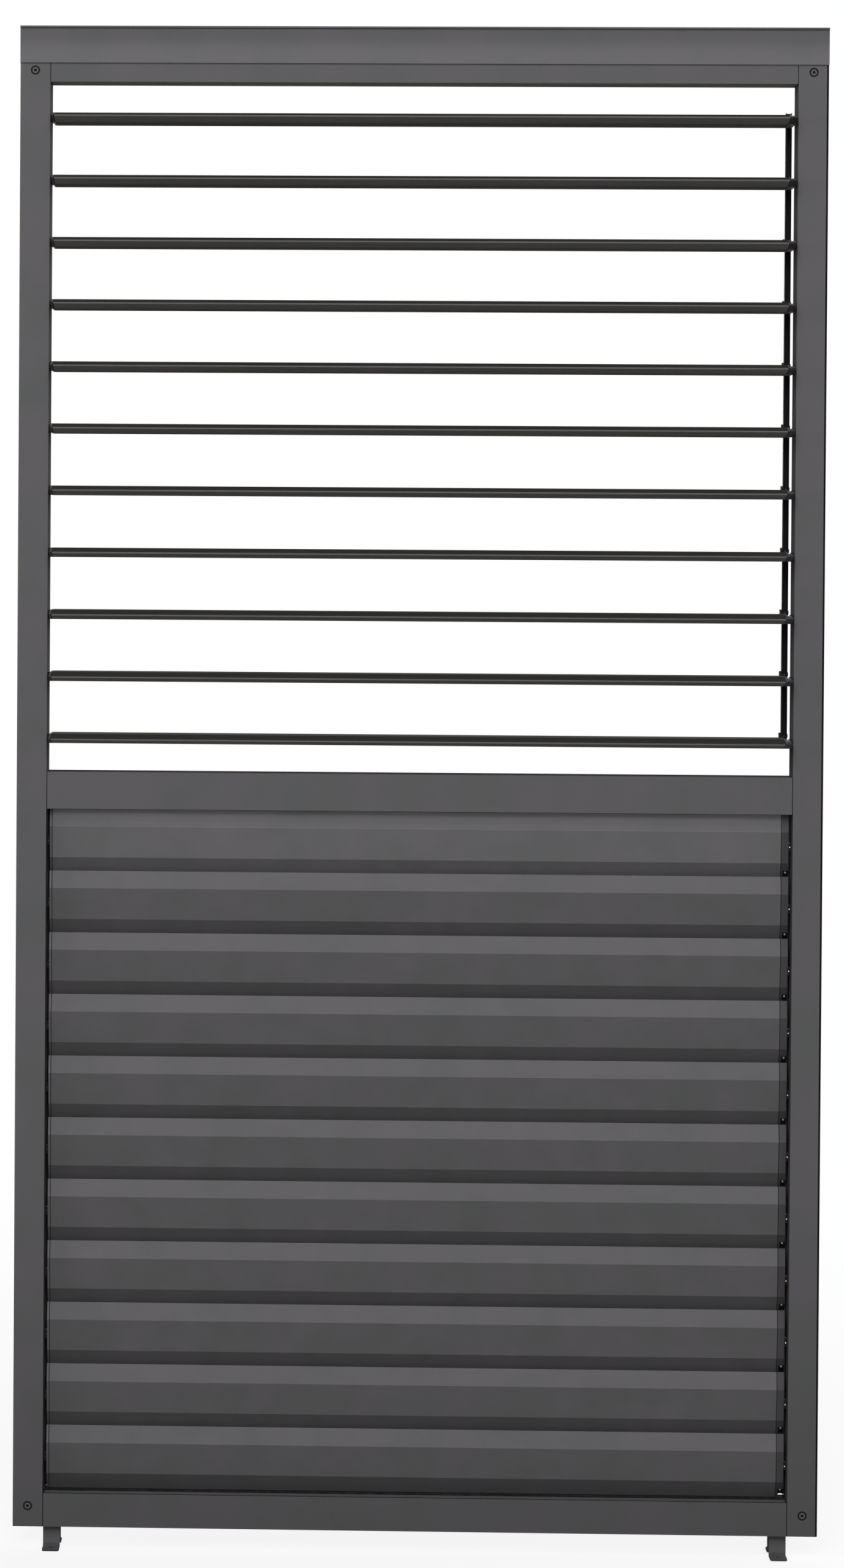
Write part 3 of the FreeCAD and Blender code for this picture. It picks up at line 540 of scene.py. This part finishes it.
# %% [markdown]
# ## Screw holes and outer corner of the stiles
# In the picture each corner screw sits in a dark ring, the shadow in its countersink, and the outer front
# corner of the right stile is a black line, painted shade along its outer edge. The inner sides beside the
# shut bank are painted dark as shade, and above it they keep a plain tone. All of these are flush, so the
# coat of the stiles carries them. The ring comes from the distance to the axis of the nearest screw: the
# sides mirror, and the nearer of the two heights counts.

# %% Distance from the screws
SCREW_X = middle("right_stile", X)
SCREW_HEIGHTS = (0.065, 2.209)


def from_axis(tree, where):
    """Distance in metres from the axis of the nearest corner screw."""
    x, _, z = parted(tree, where)
    side = reckoned(tree, "SUBTRACT", reckoned(tree, "ABSOLUTE", x), SCREW_X)
    low, high = (reckoned(tree, "ABSOLUTE", reckoned(tree, "SUBTRACT", z, level)) for level in SCREW_HEIGHTS)
    up = reckoned(tree, "MINIMUM", low, high)
    squares = total(tree, product(tree, side, side), product(tree, up, up))
    return reckoned(tree, "POWER", squares, 0.5)


print("screws at x:", round(SCREW_X, 4), "z:", SCREW_HEIGHTS)

# %% Stile coat
RING_RADIUS, RING_BLUR = 0.0069, 0.0003
RING_BACK, RING_FRONT = -0.0130, -0.0140
RING_DARK = grey(0.012)
CORNER_SHADE_WIDTH, CORNER_SHADE_BLUR = 0.0034, 0.0004
CORNER_SHADE_BACK, CORNER_SHADE_FRONT = -0.0150, -0.0165
CORNER_SHADE_BLACK = (0.010, 0.009, 0.008)
INNER_SKIN, INNER_BLUR = 0.0002, 0.0004
INNER_SHADE_BELOW, INNER_TONE_ABOVE = (0.055, 0.055, 0.056), (0.118, 0.118, 0.120)
INNER_SHADE_FADE = 0.02


def stile_painted_shade(tree, coat, where):
    """Painted shade towards the foot and on the inner sides beside the shut bank, then the shadow rings round
    the screws and the painted shade along the outer corner.
    """
    x, y, z = parted(tree, where)
    # Painted shadow in the countersink round each screw.
    near_screw = spread(tree, from_axis(tree, where), RING_RADIUS + RING_BLUR, RING_RADIUS - RING_BLUR)
    ring = product(tree, near_screw, spread(tree, y, RING_BACK, RING_FRONT))
    # Painted shade along the outer front corner of the right stile.
    corner_shade_from = span("right_stile", X)[1] - CORNER_SHADE_WIDTH
    at_corner = spread(tree, x, corner_shade_from, corner_shade_from + CORNER_SHADE_BLUR)
    corner_shade = product(tree, at_corner, spread(tree, y, CORNER_SHADE_BACK, CORNER_SHADE_FRONT))
    # Painted shade on the inner sides beside the shut bank, and a plain tone above it.
    skin = RAIL_END + INNER_SKIN
    inner = spread(tree, reckoned(tree, "ABSOLUTE", x), skin + INNER_BLUR, skin)
    above = spread(tree, z, RAIL_UNDERSIDE, RAIL_UNDERSIDE + INNER_SHADE_FADE)
    inner_shade = blended(tree, above, INNER_SHADE_BELOW, INNER_TONE_ABOVE)
    with_inner_shade = blended(tree, inner, painted_low_shade(tree, coat, where), inner_shade)
    return blended(tree, corner_shade, blended(tree, ring, with_inner_shade, RING_DARK), CORNER_SHADE_BLACK)


stile_coat = powder_coat("grey_stile_coat", 1.0, stile_painted_shade)

# %% [markdown]
# ## Shut blades
# The lower bank is shut. The bevels that look up are painted light and those that look down are painted dark,
# as light from above would fall on them. This follows the direction that a face has on its own piece, so the
# Normal output of the Texture Coordinate node is used, and it turns with the blade. The first blade is
# painted lighter than the rest, in place of the light that the rail over it shades off, most of all along its
# top, which comes from a ramp over the height.
# Where a blade meets its caps there is a thin dark seam, drawn in the same way as the joints of the rails.

# %% Seams and painted light
SEAM_INSIDE, SEAM_OUTSIDE = 0.0014, 0.0008
SEAM_DARK = (0.020, 0.019, 0.018)
TOP_LIGHT = (1.0, 0.99, 1.0)
UPWARD_LIGHT_FILM = [(0.0, grey(0.60)), (0.31, grey(0.37)), (0.47, grey(0.65)), (0.64, TOP_LIGHT), (1.0, TOP_LIGHT)]


def end_seams(tree, coat, where):
    """A thin dark line where a blade meets its caps."""
    x = parted(tree, where)[X]
    low, high = span("upper_blade_01", X)
    left = spread(tree, x, low + SEAM_INSIDE, low + SEAM_OUTSIDE)
    right = spread(tree, x, high - SEAM_INSIDE, high - SEAM_OUTSIDE)
    return blended(tree, reckoned(tree, "MAXIMUM", left, right), coat, SEAM_DARK)


def patchy_facing_up(tree, where, per_metre):
    """How far a face looks up, made a little uneven."""
    uneven = product(tree, noise(tree, where, per_metre, detail=3.0), 0.05)
    return total(tree, uneven, facing_up(tree))


def painted_upward_light(tree, coat, where):
    """Painted light: faces that look up are lighter and the others darker, as light from above would fall."""
    return stain_and_shade(tree, coat, colours(tree, patchy_facing_up(tree, where, per_metre=25.0), UPWARD_LIGHT_FILM))


print("seams and dust are ready")

# %% Shut blade coats
FIRST_BLADE_FOOT, FIRST_BLADE_TOP = 1.080, 1.108
FIRST_BLADE_LIGHT_FILM = [(0.05, grey(1.0)), (0.11, grey(0.76)), (0.43, grey(0.82)),
                (0.74, grey(1.18)), (0.90, grey(1.5))]


def shut_blade_light_and_seams(tree, coat, where):
    """Painted light on the bevels, and the seams of the caps."""
    return end_seams(tree, painted_upward_light(tree, coat, where), where)


def first_blade_painted_light(tree, coat, where):
    """The same on the first blade, with painted light along its top, where the rail over it casts shade, and
    painted shade lower down.
    """
    height = spread(tree, parted(tree, where)[Z], FIRST_BLADE_FOOT, FIRST_BLADE_TOP)
    return shut_blade_light_and_seams(tree, stain_and_shade(tree, coat, colours(tree, height, FIRST_BLADE_LIGHT_FILM)), where)


# The shut blades are a lighter copy of the coat, under their painted light and shade.
shut_blade_coat = powder_coat("shut_blade_coat", 1.40, shut_blade_light_and_seams)
# The first blade is a lighter copy still, painted light in place of the light that the rail shades off.
first_blade_lit_coat = powder_coat("first_blade_lit_coat", 1.78, first_blade_painted_light)

# %% [markdown]
# ## Open blades
# The upper bank is open, and its blades carry painted shade with a dull olive tint. The tops are painted
# dark, darkest on the bevels along the front edge, and under those bevels the blades are painted lighter, in
# place of light from below. It is a colour ramp over the direction of the face once more, with one set of
# colours behind the front bevels and one for them.

# %% Open blade coat
FRONT_BEVEL, BEVEL_BLUR = -0.0235, 0.001
REAR_SHADE_FILM = [(0.0, (0.70, 0.70, 0.665)), (0.40, (0.68, 0.68, 0.65)), (0.48, (0.82, 0.82, 0.80)),
             (0.58, (0.82, 0.82, 0.80)), (0.72, (0.48, 0.48, 0.45)), (1.0, (0.47, 0.47, 0.44))]
FRONT_SHADE_FILM = [(0.0, (0.92, 0.92, 0.87)), (0.40, (0.86, 0.86, 0.82)), (0.48, (0.66, 0.66, 0.64)),
              (0.58, (0.66, 0.66, 0.64)), (0.72, (0.185, 0.185, 0.165)), (1.0, (0.18, 0.18, 0.16))]


def painted_blade_shade(tree, coat, where):
    """Painted shade with an olive tint: dark tops, darkest on the front bevels, and painted light under the
    front bevels.
    """
    upward = patchy_facing_up(tree, where, per_metre=30.0)
    in_front = spread(tree, parted(tree, where)[Y], FRONT_BEVEL + BEVEL_BLUR, FRONT_BEVEL - BEVEL_BLUR)
    film = blended(tree, in_front, colours(tree, upward, REAR_SHADE_FILM), colours(tree, upward, FRONT_SHADE_FILM))
    return stain_and_shade(tree, coat, film)


def open_blade_shade_and_seams(tree, coat, where):
    """The painted light and shade, and the seams of the caps."""
    return end_seams(tree, painted_blade_shade(tree, coat, where), where)


# The open blades are a lighter copy of the coat, under their painted light and shade.
open_blade_coat = powder_coat("open_blade_coat", 1.6, open_blade_shade_and_seams)

# %% [markdown]
# ## Cap plastic
# The caps that close the blades are moulded in plastic. Moulded plastic has a spark-eroded texture, finer
# than the grain of the powder, and a faint gloss. It is made with noise in the relief, and a colour that
# also follows the flow of the plastic. The caps of the shut bank carry the same painted light as its blades,
# and painted shade darkens those on the right. Those of the open bank are painted nearly black, as shade, and
# the nylon bushes are nearly black.

# %% Cap plastic finish
FLOW = (1.0, 1.0, 0.3)
FLOW_PER_METRE = 40.0
PIT_DEPTH = 0.00005
RIGHT_SHADE_FROM, RIGHT_SHADE_TO = -0.1, 0.1
RIGHT_SHADE_FILM = [(0.0, grey(1.0)), (1.0, grey(0.5))]


def moulded_plastic(name, low, high, rough, pits_per_metre, weather_and_light=None):
    """Pitted plastic in the colours from low to high. A step of weathering and painted light may change them.
    """
    finish, tree, shader = new_finish(name)
    where = on_piece(tree)
    pits = noise(tree, where, pits_per_metre, 3.0, 0.65)
    flow = noise(tree, on_piece(tree, FLOW), FLOW_PER_METRE)
    both = total(tree, product(tree, pits, 0.5), product(tree, flow, 0.5))
    dye = colours(tree, both, [(0.3, low), (0.7, high)])
    if weather_and_light:
        dye = weather_and_light(tree, dye, where)
    tree.links.new(dye, shader.inputs["Base Color"])
    tree.links.new(spread(tree, pits, 0.3, 0.7, rough - 0.06, rough + 0.06), shader.inputs["Roughness"])
    shader.inputs["Specular IOR Level"].default_value = 0.08
    relief(tree, shader, pits, PIT_DEPTH, 0.7)
    print("finish:", name)
    return finish


def shut_cap_light_and_shade(tree, dye, where):
    """Painted light on the bevels, and painted shade on the right-hand caps."""
    to_the_right = spread(tree, parted(tree, where)[X], RIGHT_SHADE_FROM, RIGHT_SHADE_TO)
    return stain_and_shade(tree, painted_upward_light(tree, dye, where), colours(tree, to_the_right, RIGHT_SHADE_FILM))


# The open caps are the grey plastic of the shut ones, painted nearly black as shade.
shaded_open_cap_plastic = moulded_plastic("shaded_open_cap_plastic", low=(0.010, 0.010, 0.010), high=(0.018, 0.018, 0.017),
                                   rough=0.58, pits_per_metre=1400.0)
shut_cap_plastic = moulded_plastic("shut_cap_plastic", low=(0.148, 0.146, 0.148), high=(0.202, 0.199, 0.202),
                                   rough=0.58, pits_per_metre=1400.0, weather_and_light=shut_cap_light_and_shade)
bush_nylon = moulded_plastic("black_bush_nylon", low=(0.007, 0.007, 0.007), high=(0.015, 0.015, 0.014),
                             rough=0.5, pits_per_metre=1800.0)

# %% [markdown]
# ## Metals
# The tie bars are slim aluminium channels, anodised black, with the draw lines of the extrusion along their
# length. The pivot pins and the foot bolts are zinc-plated steel, the crank pins are steel blackened in oil,
# and the keys inside the joints are plain aluminium as it leaves the press. The bright rivets are aluminium
# too. All have streaks along the direction they were drawn in, so the noise is stretched that way.

# %% Drawn metal finish
ALONG_BAR = (1.0, 1.0, 0.02)
ALONG_PIN = (0.05, 1.0, 1.0)
BLOOMS_PER_METRE = 55.0
STREAK_DEPTH = 0.00003


def drawn_metal(name, low, high, rough, metal, stretch, streaks_per_metre, gloss=0.5):
    """Metal in the colours from low to high, with streaks and soft blooms."""
    finish, tree, shader = new_finish(name)
    streaks = noise(tree, on_piece(tree, stretch), streaks_per_metre, 3.0, 0.6)
    blooms = noise(tree, on_piece(tree), BLOOMS_PER_METRE)
    both = total(tree, product(tree, streaks, 0.65), product(tree, blooms, 0.35))
    tree.links.new(colours(tree, both, [(0.3, low), (0.7, high)]), shader.inputs["Base Color"])
    tree.links.new(spread(tree, streaks, 0.3, 0.7, rough - 0.07, rough + 0.07), shader.inputs["Roughness"])
    shader.inputs["Metallic"].default_value = metal
    shader.inputs["Specular IOR Level"].default_value = gloss
    relief(tree, shader, streaks, STREAK_DEPTH, 0.5)
    print("finish:", name)
    return finish


bar_black = drawn_metal("black_anodised_bar", low=(0.006, 0.006, 0.006), high=(0.016, 0.016, 0.015),
                        rough=0.55, metal=0.0, stretch=ALONG_BAR, streaks_per_metre=1500.0, gloss=0.08)
pin_steel = drawn_metal("zinc_plated_steel", low=(0.50, 0.50, 0.49), high=(0.68, 0.69, 0.71),
                        rough=0.34, metal=1.0, stretch=ALONG_PIN, streaks_per_metre=1200.0)
rivet_alloy = drawn_metal("bright_rivet_alloy", low=(0.74, 0.74, 0.73), high=(0.92, 0.92, 0.92),
                          rough=0.40, metal=0.5, stretch=ALONG_BAR, streaks_per_metre=1800.0)
crank_steel = drawn_metal("blackened_steel", low=(0.018, 0.018, 0.018), high=(0.040, 0.039, 0.038),
                          rough=0.46, metal=0.7, stretch=ALONG_PIN, streaks_per_metre=1200.0)
key_alloy = drawn_metal("plain_aluminium", low=(0.58, 0.58, 0.59), high=(0.78, 0.78, 0.79),
                        rough=0.38, metal=1.0, stretch=ALONG_PIN, streaks_per_metre=600.0)

# %% [markdown]
# ## Screw heads
# The four corner screws are coated in the frame's grey. In the picture each one shows a dark ring where the
# head meets its countersink, and a dark socket; both are painted shadow. Both come from the same distance to
# the axis as the ring on the stile, in centimetres, because a colour ramp runs from 0 to 1.

# %% Screw finish
CENTIMETRES = 100.0
HEAD_SHADOW_RINGS = [(0.0, grey(0.008)), (0.20, grey(0.010)), (0.25, (0.118, 0.116, 0.119)),
              (0.41, (0.122, 0.120, 0.123)), (0.46, grey(0.009)), (0.72, grey(0.007))]
FLECK_GREY = grey(0.16)
HEAD_GRAIN_DEPTH = 0.00004

screw_coat, tree, shader = new_finish("coated_screw_head")
where = on_piece(tree)
# Painted shadow in the socket and in the ring round the head.
head = colours(tree, product(tree, from_axis(tree, where), CENTIMETRES), HEAD_SHADOW_RINGS)
flecks = spread(tree, noise(tree, where, per_metre=1500.0), 0.35, 0.75, 0.0, 0.05)
tree.links.new(blended(tree, flecks, head, FLECK_GREY), shader.inputs["Base Color"])
sheen = noise(tree, where, per_metre=500.0)
tree.links.new(spread(tree, sheen, 0.3, 0.7, 0.38, 0.52), shader.inputs["Roughness"])
shader.inputs["Specular IOR Level"].default_value = 0.05
relief(tree, shader, noise(tree, where, per_metre=1200.0), HEAD_GRAIN_DEPTH, 0.5)
print("finish:", screw_coat.name)

# %% [markdown]
# ## Dressing the pieces
# Each CAD node names the finish it was made for in the record, so the finishes are handed out by that name.
# Rails, stiles, feet, head channel, blades and the caps of the shut bank then get their own.

# %% Hand out the finishes
FINISH_OF = {
    "powder_coat": frame_coat,
    "cap_plastic": shaded_open_cap_plastic,
    "black_nylon": bush_nylon,
    "black_anodised": bar_black,
    "coated_screws": screw_coat,
    "plain_aluminium": key_alloy,
    "zinc_steel": pin_steel,
}
BANKS = ("upper", "lower")
BLADES = sorted(name[-2:] for name in nodes if name.startswith("upper_blade_"))

for row in frame["record"]["subparts"]:
    piece = nodes[row["node"]].data
    piece.materials.clear()
    piece.materials.append(FINISH_OF[row["material_slot"]])
for name in ("top_rail", "mid_rail", "bottom_rail"):
    nodes[name].data.materials[0] = rail_coat
for side in ("left", "right"):
    nodes[f"{side}_stile"].data.materials[0] = stile_coat
    nodes[f"{side}_foot"].data.materials[0] = foot_coat
nodes["head_channel"].data.materials[0] = head_coat
for number in BLADES:
    nodes[f"upper_blade_{number}"].data.materials[0] = open_blade_coat
    nodes[f"lower_blade_{number}"].data.materials[0] = shut_blade_coat
    nodes[f"lower_caps_{number}"].data.materials[0] = shut_cap_plastic
nodes[f"lower_blade_{BLADES[0]}"].data.materials[0] = first_blade_lit_coat

# %% [markdown]
# ## Pins in the caps
# The caps of a blade and its pins share one node, and the pins are steel. Their faces are those that lie
# closer to a pin's axis than the hole round it, and they get a second material for the pivots and a third
# for the cranks. A pivot is at the middle of its blade. The crank pins follow from the tie bar, which has
# them in its middle: the bar's middle is as far from the middle of the row of pivots as each crank is from
# its own pivot.

# %% Where the pins are
pivots = {bank: [middle(f"{bank}_blade_{number}", Z) for number in BLADES] for bank in BANKS}
crank_back = {bank: middle(f"{bank}_tie_bar", Y) for bank in BANKS}
crank_up = {bank: middle(f"{bank}_tie_bar", Z) - sum(pivots[bank]) / len(BLADES) for bank in BANKS}
for bank in BANKS:
    print(bank, "crank from pivot:", round(crank_back[bank], 6), round(crank_up[bank], 6))

# %% Steel pins in the caps
PIVOT_REACH, CRANK_REACH, CRANK_HEAD_REACH = 0.00301, 0.00201, 0.00327
CRANK_HEAD_ROOM = 0.0001


def pin_faces(mesh, pivot, crank, head_from):
    """The faces whose corners all lie on or inside a pin: those of the pivots, then those of the crank."""

    def on_pivot(point):
        return math.hypot(point.y - pivot[0], point.z - pivot[1]) <= PIVOT_REACH

    def on_crank(point):
        reach = CRANK_HEAD_REACH if point.x >= head_from else CRANK_REACH
        return math.hypot(point.y - crank[0], point.z - crank[1]) <= reach

    of_pivots, of_crank = [], []
    for face in mesh.polygons:
        corners = [mesh.vertices[i].co for i in face.vertices]
        if all(on_pivot(corner) for corner in corners):
            of_pivots.append(face)
        elif all(on_crank(corner) for corner in corners):
            of_crank.append(face)
    return of_pivots, of_crank


steel_faces = 0
for bank in BANKS:
    head_from = span(f"{bank}_tie_bar", X)[1] + CRANK_HEAD_ROOM
    for number, height in zip(BLADES, pivots[bank]):
        mesh = nodes[f"{bank}_caps_{number}"].data
        mesh.materials.append(pin_steel)
        mesh.materials.append(crank_steel)
        crank = (crank_back[bank], height + crank_up[bank])
        for slot, faces in enumerate(pin_faces(mesh, (0.0, height), crank, head_from), start=1):
            steel_faces += len(faces)
            for face in faces:
                face.material_index = slot
print("steel faces on the pins:", steel_faces)

# %% [markdown]
# ## Strips in the gaps of the lower bank
# Where the shut blades meet the frame the picture is dark, not bright: the gaps there are in shade. Black
# rubber strips fill them as painted shade, against the rail and the left stile, and on the right, behind the
# tie bar, a thin metal stop in the frame's grey. Each one is a long bar whose inner face is drawn in and
# pulled out to a lip, with its edges rounded. It is modelled in edit mode from a cube that starts at the
# strip's base, and its place goes into its mesh before the edit.

# %% Rubber finish
RUBBER_LOW, RUBBER_HIGH = (0.006, 0.006, 0.006), (0.014, 0.014, 0.013)
ALONG_STRIP = (0.03, 1.0, 0.03)
LINE_DEPTH = 0.00004

rubber, tree, shader = new_finish("black_shade_strip_rubber")
skin = noise(tree, on_piece(tree), per_metre=1600.0, detail=3.0, rough=0.6)
lines = noise(tree, on_piece(tree, ALONG_STRIP), per_metre=2500.0, detail=1.0)
black = colours(tree, skin, [(0.3, RUBBER_LOW), (0.75, RUBBER_HIGH)])
tree.links.new(black, shader.inputs["Base Color"])
tree.links.new(spread(tree, lines, 0.3, 0.7, 0.62, 0.78), shader.inputs["Roughness"])
shader.inputs["Specular IOR Level"].default_value = 0.1
relief(tree, shader, lines, LINE_DEPTH, 0.6)
print("finish:", rubber.name)

# %% Strip maker
ROUNDING_SHARE = 0.35


def open_faces(piece, towards):
    """Puts the piece's place in its mesh, and opens it with the faces that look one way selected."""
    bpy.ops.object.transform_apply(location=True, rotation=True, scale=True)
    bpy.ops.object.mode_set(mode="EDIT")
    bpy.ops.mesh.select_all(action="DESELECT")
    bpy.ops.object.mode_set(mode="OBJECT")
    for face in piece.data.polygons:
        face.select = face.normal.dot(Vector(towards)) > 0.9
    bpy.ops.object.mode_set(mode="EDIT")


def gap_strip(name, across, deep, tall, inward, lip_inset, lip_length, finish):
    """A strip that fills the given ranges in x, y and z, with its lip along the inward axis."""
    base_low, base_high = (Vector(corner) for corner in zip(across, deep, tall))
    axis = max(range(3), key=lambda i: abs(inward[i]))
    if inward[axis] > 0:
        base_high[axis] -= lip_length
    else:
        base_low[axis] += lip_length
    bpy.ops.object.select_all(action="DESELECT")
    bpy.ops.mesh.primitive_cube_add(size=1.0, location=(base_low + base_high) / 2)
    strip = bpy.context.active_object
    strip.name = name
    strip.scale = base_high - base_low
    open_faces(strip, inward)
    bpy.ops.mesh.inset(thickness=lip_inset, depth=0.0)
    bpy.ops.mesh.extrude_region_move(TRANSFORM_OT_translate={"value": Vector(inward) * lip_length})
    bpy.ops.object.mode_set(mode="OBJECT")
    rounding = strip.modifiers.new("soft_edges", "BEVEL")
    rounding.width = lip_inset * ROUNDING_SHARE
    rounding.segments = 2
    rounding.limit_method = "ANGLE"
    bpy.ops.object.modifier_apply(modifier=rounding.name)
    strip.data.materials.append(finish)
    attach(strip, "frame")
    print(name, "faces:", len(strip.data.polygons))


print("seal maker ready")

# %% Shade strips and stop
SHADE_STRIP_THICKNESS, STOP_THICKNESS = 0.0034, 0.0008
END_ROOM, FOOT_ROOM, TOP_ROOM = 0.0004, 0.0022, 0.0020

strip_end = RAIL_END - END_ROOM
side_height = (span("bottom_rail", Z)[1] + FOOT_ROOM, RAIL_UNDERSIDE - TOP_ROOM)
# Black rubber strips in the gaps of the shut bank, as painted shade, and the grey stop on the right.
gap_strip("mid_rail_shade_strip", across=(-strip_end, strip_end), deep=(0.0026, 0.0062),
           tall=(RAIL_UNDERSIDE - SHADE_STRIP_THICKNESS, RAIL_UNDERSIDE), inward=(0, 0, -1),
           lip_inset=0.0009, lip_length=0.0022, finish=rubber)
gap_strip("left_side_shade_strip", across=(-RAIL_END, SHADE_STRIP_THICKNESS - RAIL_END), deep=(0.0085, 0.0150),
           tall=side_height, inward=(1, 0, 0),
           lip_inset=0.0014, lip_length=0.0020, finish=rubber)
gap_strip("right_side_stop", across=(RAIL_END - STOP_THICKNESS, RAIL_END), deep=(0.0166, 0.0222),
           tall=side_height, inward=(-1, 0, 0),
           lip_inset=0.0006, lip_length=0.0004, finish=frame_coat)

# %% [markdown]
# ## Rivets and clips
# Small dots show on the black parts beside the blades: a rivet in front of each crank pin, and a cross pin
# that holds each pivot in its bush. On the lower bar and in the right-hand bushes they are bright metal, a
# painted glint, and elsewhere they are blackened, as painted shade. The tie bar is an open channel, so its
# rivets sit on black clips that are pressed between its walls, in front of the pins. A rivet is a short
# cylinder whose front face is drawn in and pushed out twice to a low dome, and a clip is a cube whose front
# face is drawn in and pulled out to a flat boss. One of each is modelled, and the rest of a row are copies of
# it with their own meshes, joined to one piece.

# %% Rows of small pieces
FRONT = (0, -1, 0)
SMOOTH_ANGLE = math.radians(50)


def row_of(first, heights, finish, body):
    """Copies a piece made at the first height to the other heights, and joins all to one piece on a body."""
    bpy.ops.object.mode_set(mode="OBJECT")
    for height in heights[1:]:
        copy = first.copy()
        copy.data = first.data.copy()
        copy.location.z = height - heights[0]
        bpy.context.scene.collection.objects.link(copy)
        copy.select_set(True)
    first.select_set(True)
    bpy.context.view_layer.objects.active = first
    bpy.ops.object.transform_apply(location=True, rotation=True, scale=True)
    bpy.ops.object.join()
    bpy.ops.object.shade_smooth_by_angle(angle=SMOOTH_ANGLE)
    row = bpy.context.active_object
    row.data.materials.clear()
    row.data.materials.append(finish)
    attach(row, body)
    print(row.name, "copies:", len(heights), "faces:", len(row.data.polygons))


print("row maker ready")

# %% Rivet maker
RIVET_CORNERS = 16
SUNK_SHARE, RIM_SHARE = 0.3, 0.4
DOME_SHARES = ((0.28, 0.40), (0.36, 0.20))


def rivet_row(name, radius, proud, x, face_y, heights, finish, body):
    """Low domes of one size on a face at face_y."""
    sunk = proud * SUNK_SHARE
    deep = sunk + proud * RIM_SHARE
    bpy.ops.object.select_all(action="DESELECT")
    bpy.ops.mesh.primitive_cylinder_add(vertices=RIVET_CORNERS, radius=radius, depth=deep,
                                        location=(x, face_y + sunk - deep / 2, heights[0]),
                                        rotation=(math.pi / 2, 0.0, 0.0))
    first = bpy.context.active_object
    first.name = name
    open_faces(first, FRONT)
    for inset_share, rise_share in DOME_SHARES:
        bpy.ops.mesh.inset(thickness=radius * inset_share, depth=proud * rise_share)
    row_of(first, heights, finish, body)


print("rivet maker ready")

# %% Clip maker
CHANNEL_INSIDE = 0.0060
CLIP_DEPTH, CLIP_HEIGHT = 0.0009, 0.0056
BOSS_HEIGHT, BOSS_INSET = 0.0003, 0.0006


def clip_row(name, x, face_y, heights, body):
    """Clips between the walls of a tie bar, each with a flat boss that ends at face_y."""
    plate = CLIP_DEPTH - BOSS_HEIGHT
    bpy.ops.object.select_all(action="DESELECT")
    bpy.ops.mesh.primitive_cube_add(size=1.0, location=(x, face_y + CLIP_DEPTH - plate / 2, heights[0]))
    first = bpy.context.active_object
    first.name = name
    first.scale = (CHANNEL_INSIDE, plate, CLIP_HEIGHT)
    open_faces(first, FRONT)
    bpy.ops.mesh.inset(thickness=BOSS_INSET, depth=0.0)
    bpy.ops.mesh.extrude_region_move(TRANSFORM_OT_translate={"value": Vector(FRONT) * BOSS_HEIGHT})
    row_of(first, heights, bush_nylon, body)


print("clip maker ready")

# %% Clips and rivets of the tie bars
RIVET_RADIUS, RIVET_PROUD = 0.0017, 0.0007
RIVET_DROP = 0.0010
# Bright rivets on the lower bar as a painted glint, blackened ones on the upper bar as painted shade.
RIVET_GLINT_AND_SHADE = {"upper": crank_steel, "lower": rivet_alloy}

for bank in BANKS:
    bar = f"{bank}_tie_bar"
    bar_x, bar_front = middle(bar, X), span(bar, Y)[0]
    on_bar = [height + crank_up[bank] - RIVET_DROP for height in pivots[bank]]
    clip_row(f"{bank}_bar_clips", bar_x, bar_front, on_bar, bar)
    rivet_row(f"{bank}_bar_rivets", RIVET_RADIUS, RIVET_PROUD, bar_x, bar_front, on_bar,
              RIVET_GLINT_AND_SHADE[bank], bar)

# %% Cross pins of the bushes
PIN_RADIUS, PIN_PROUD = 0.0010, 0.0004
# Bright pins on the right as a painted glint, blackened ones on the left as painted shade.
PIN_GLINT_AND_SHADE = {"left": crank_steel, "right": rivet_alloy}

flange_x = (span("right_pivot_bushes", X)[0] + RAIL_END) / 2
bush_front = span("right_pivot_bushes", Y)[0]
for side, x in (("left", -flange_x), ("right", flange_x)):
    rivet_row(f"{side}_bush_pins", PIN_RADIUS, PIN_PROUD, x, bush_front, pivots["upper"] + pivots["lower"],
              PIN_GLINT_AND_SHADE[side], "frame")
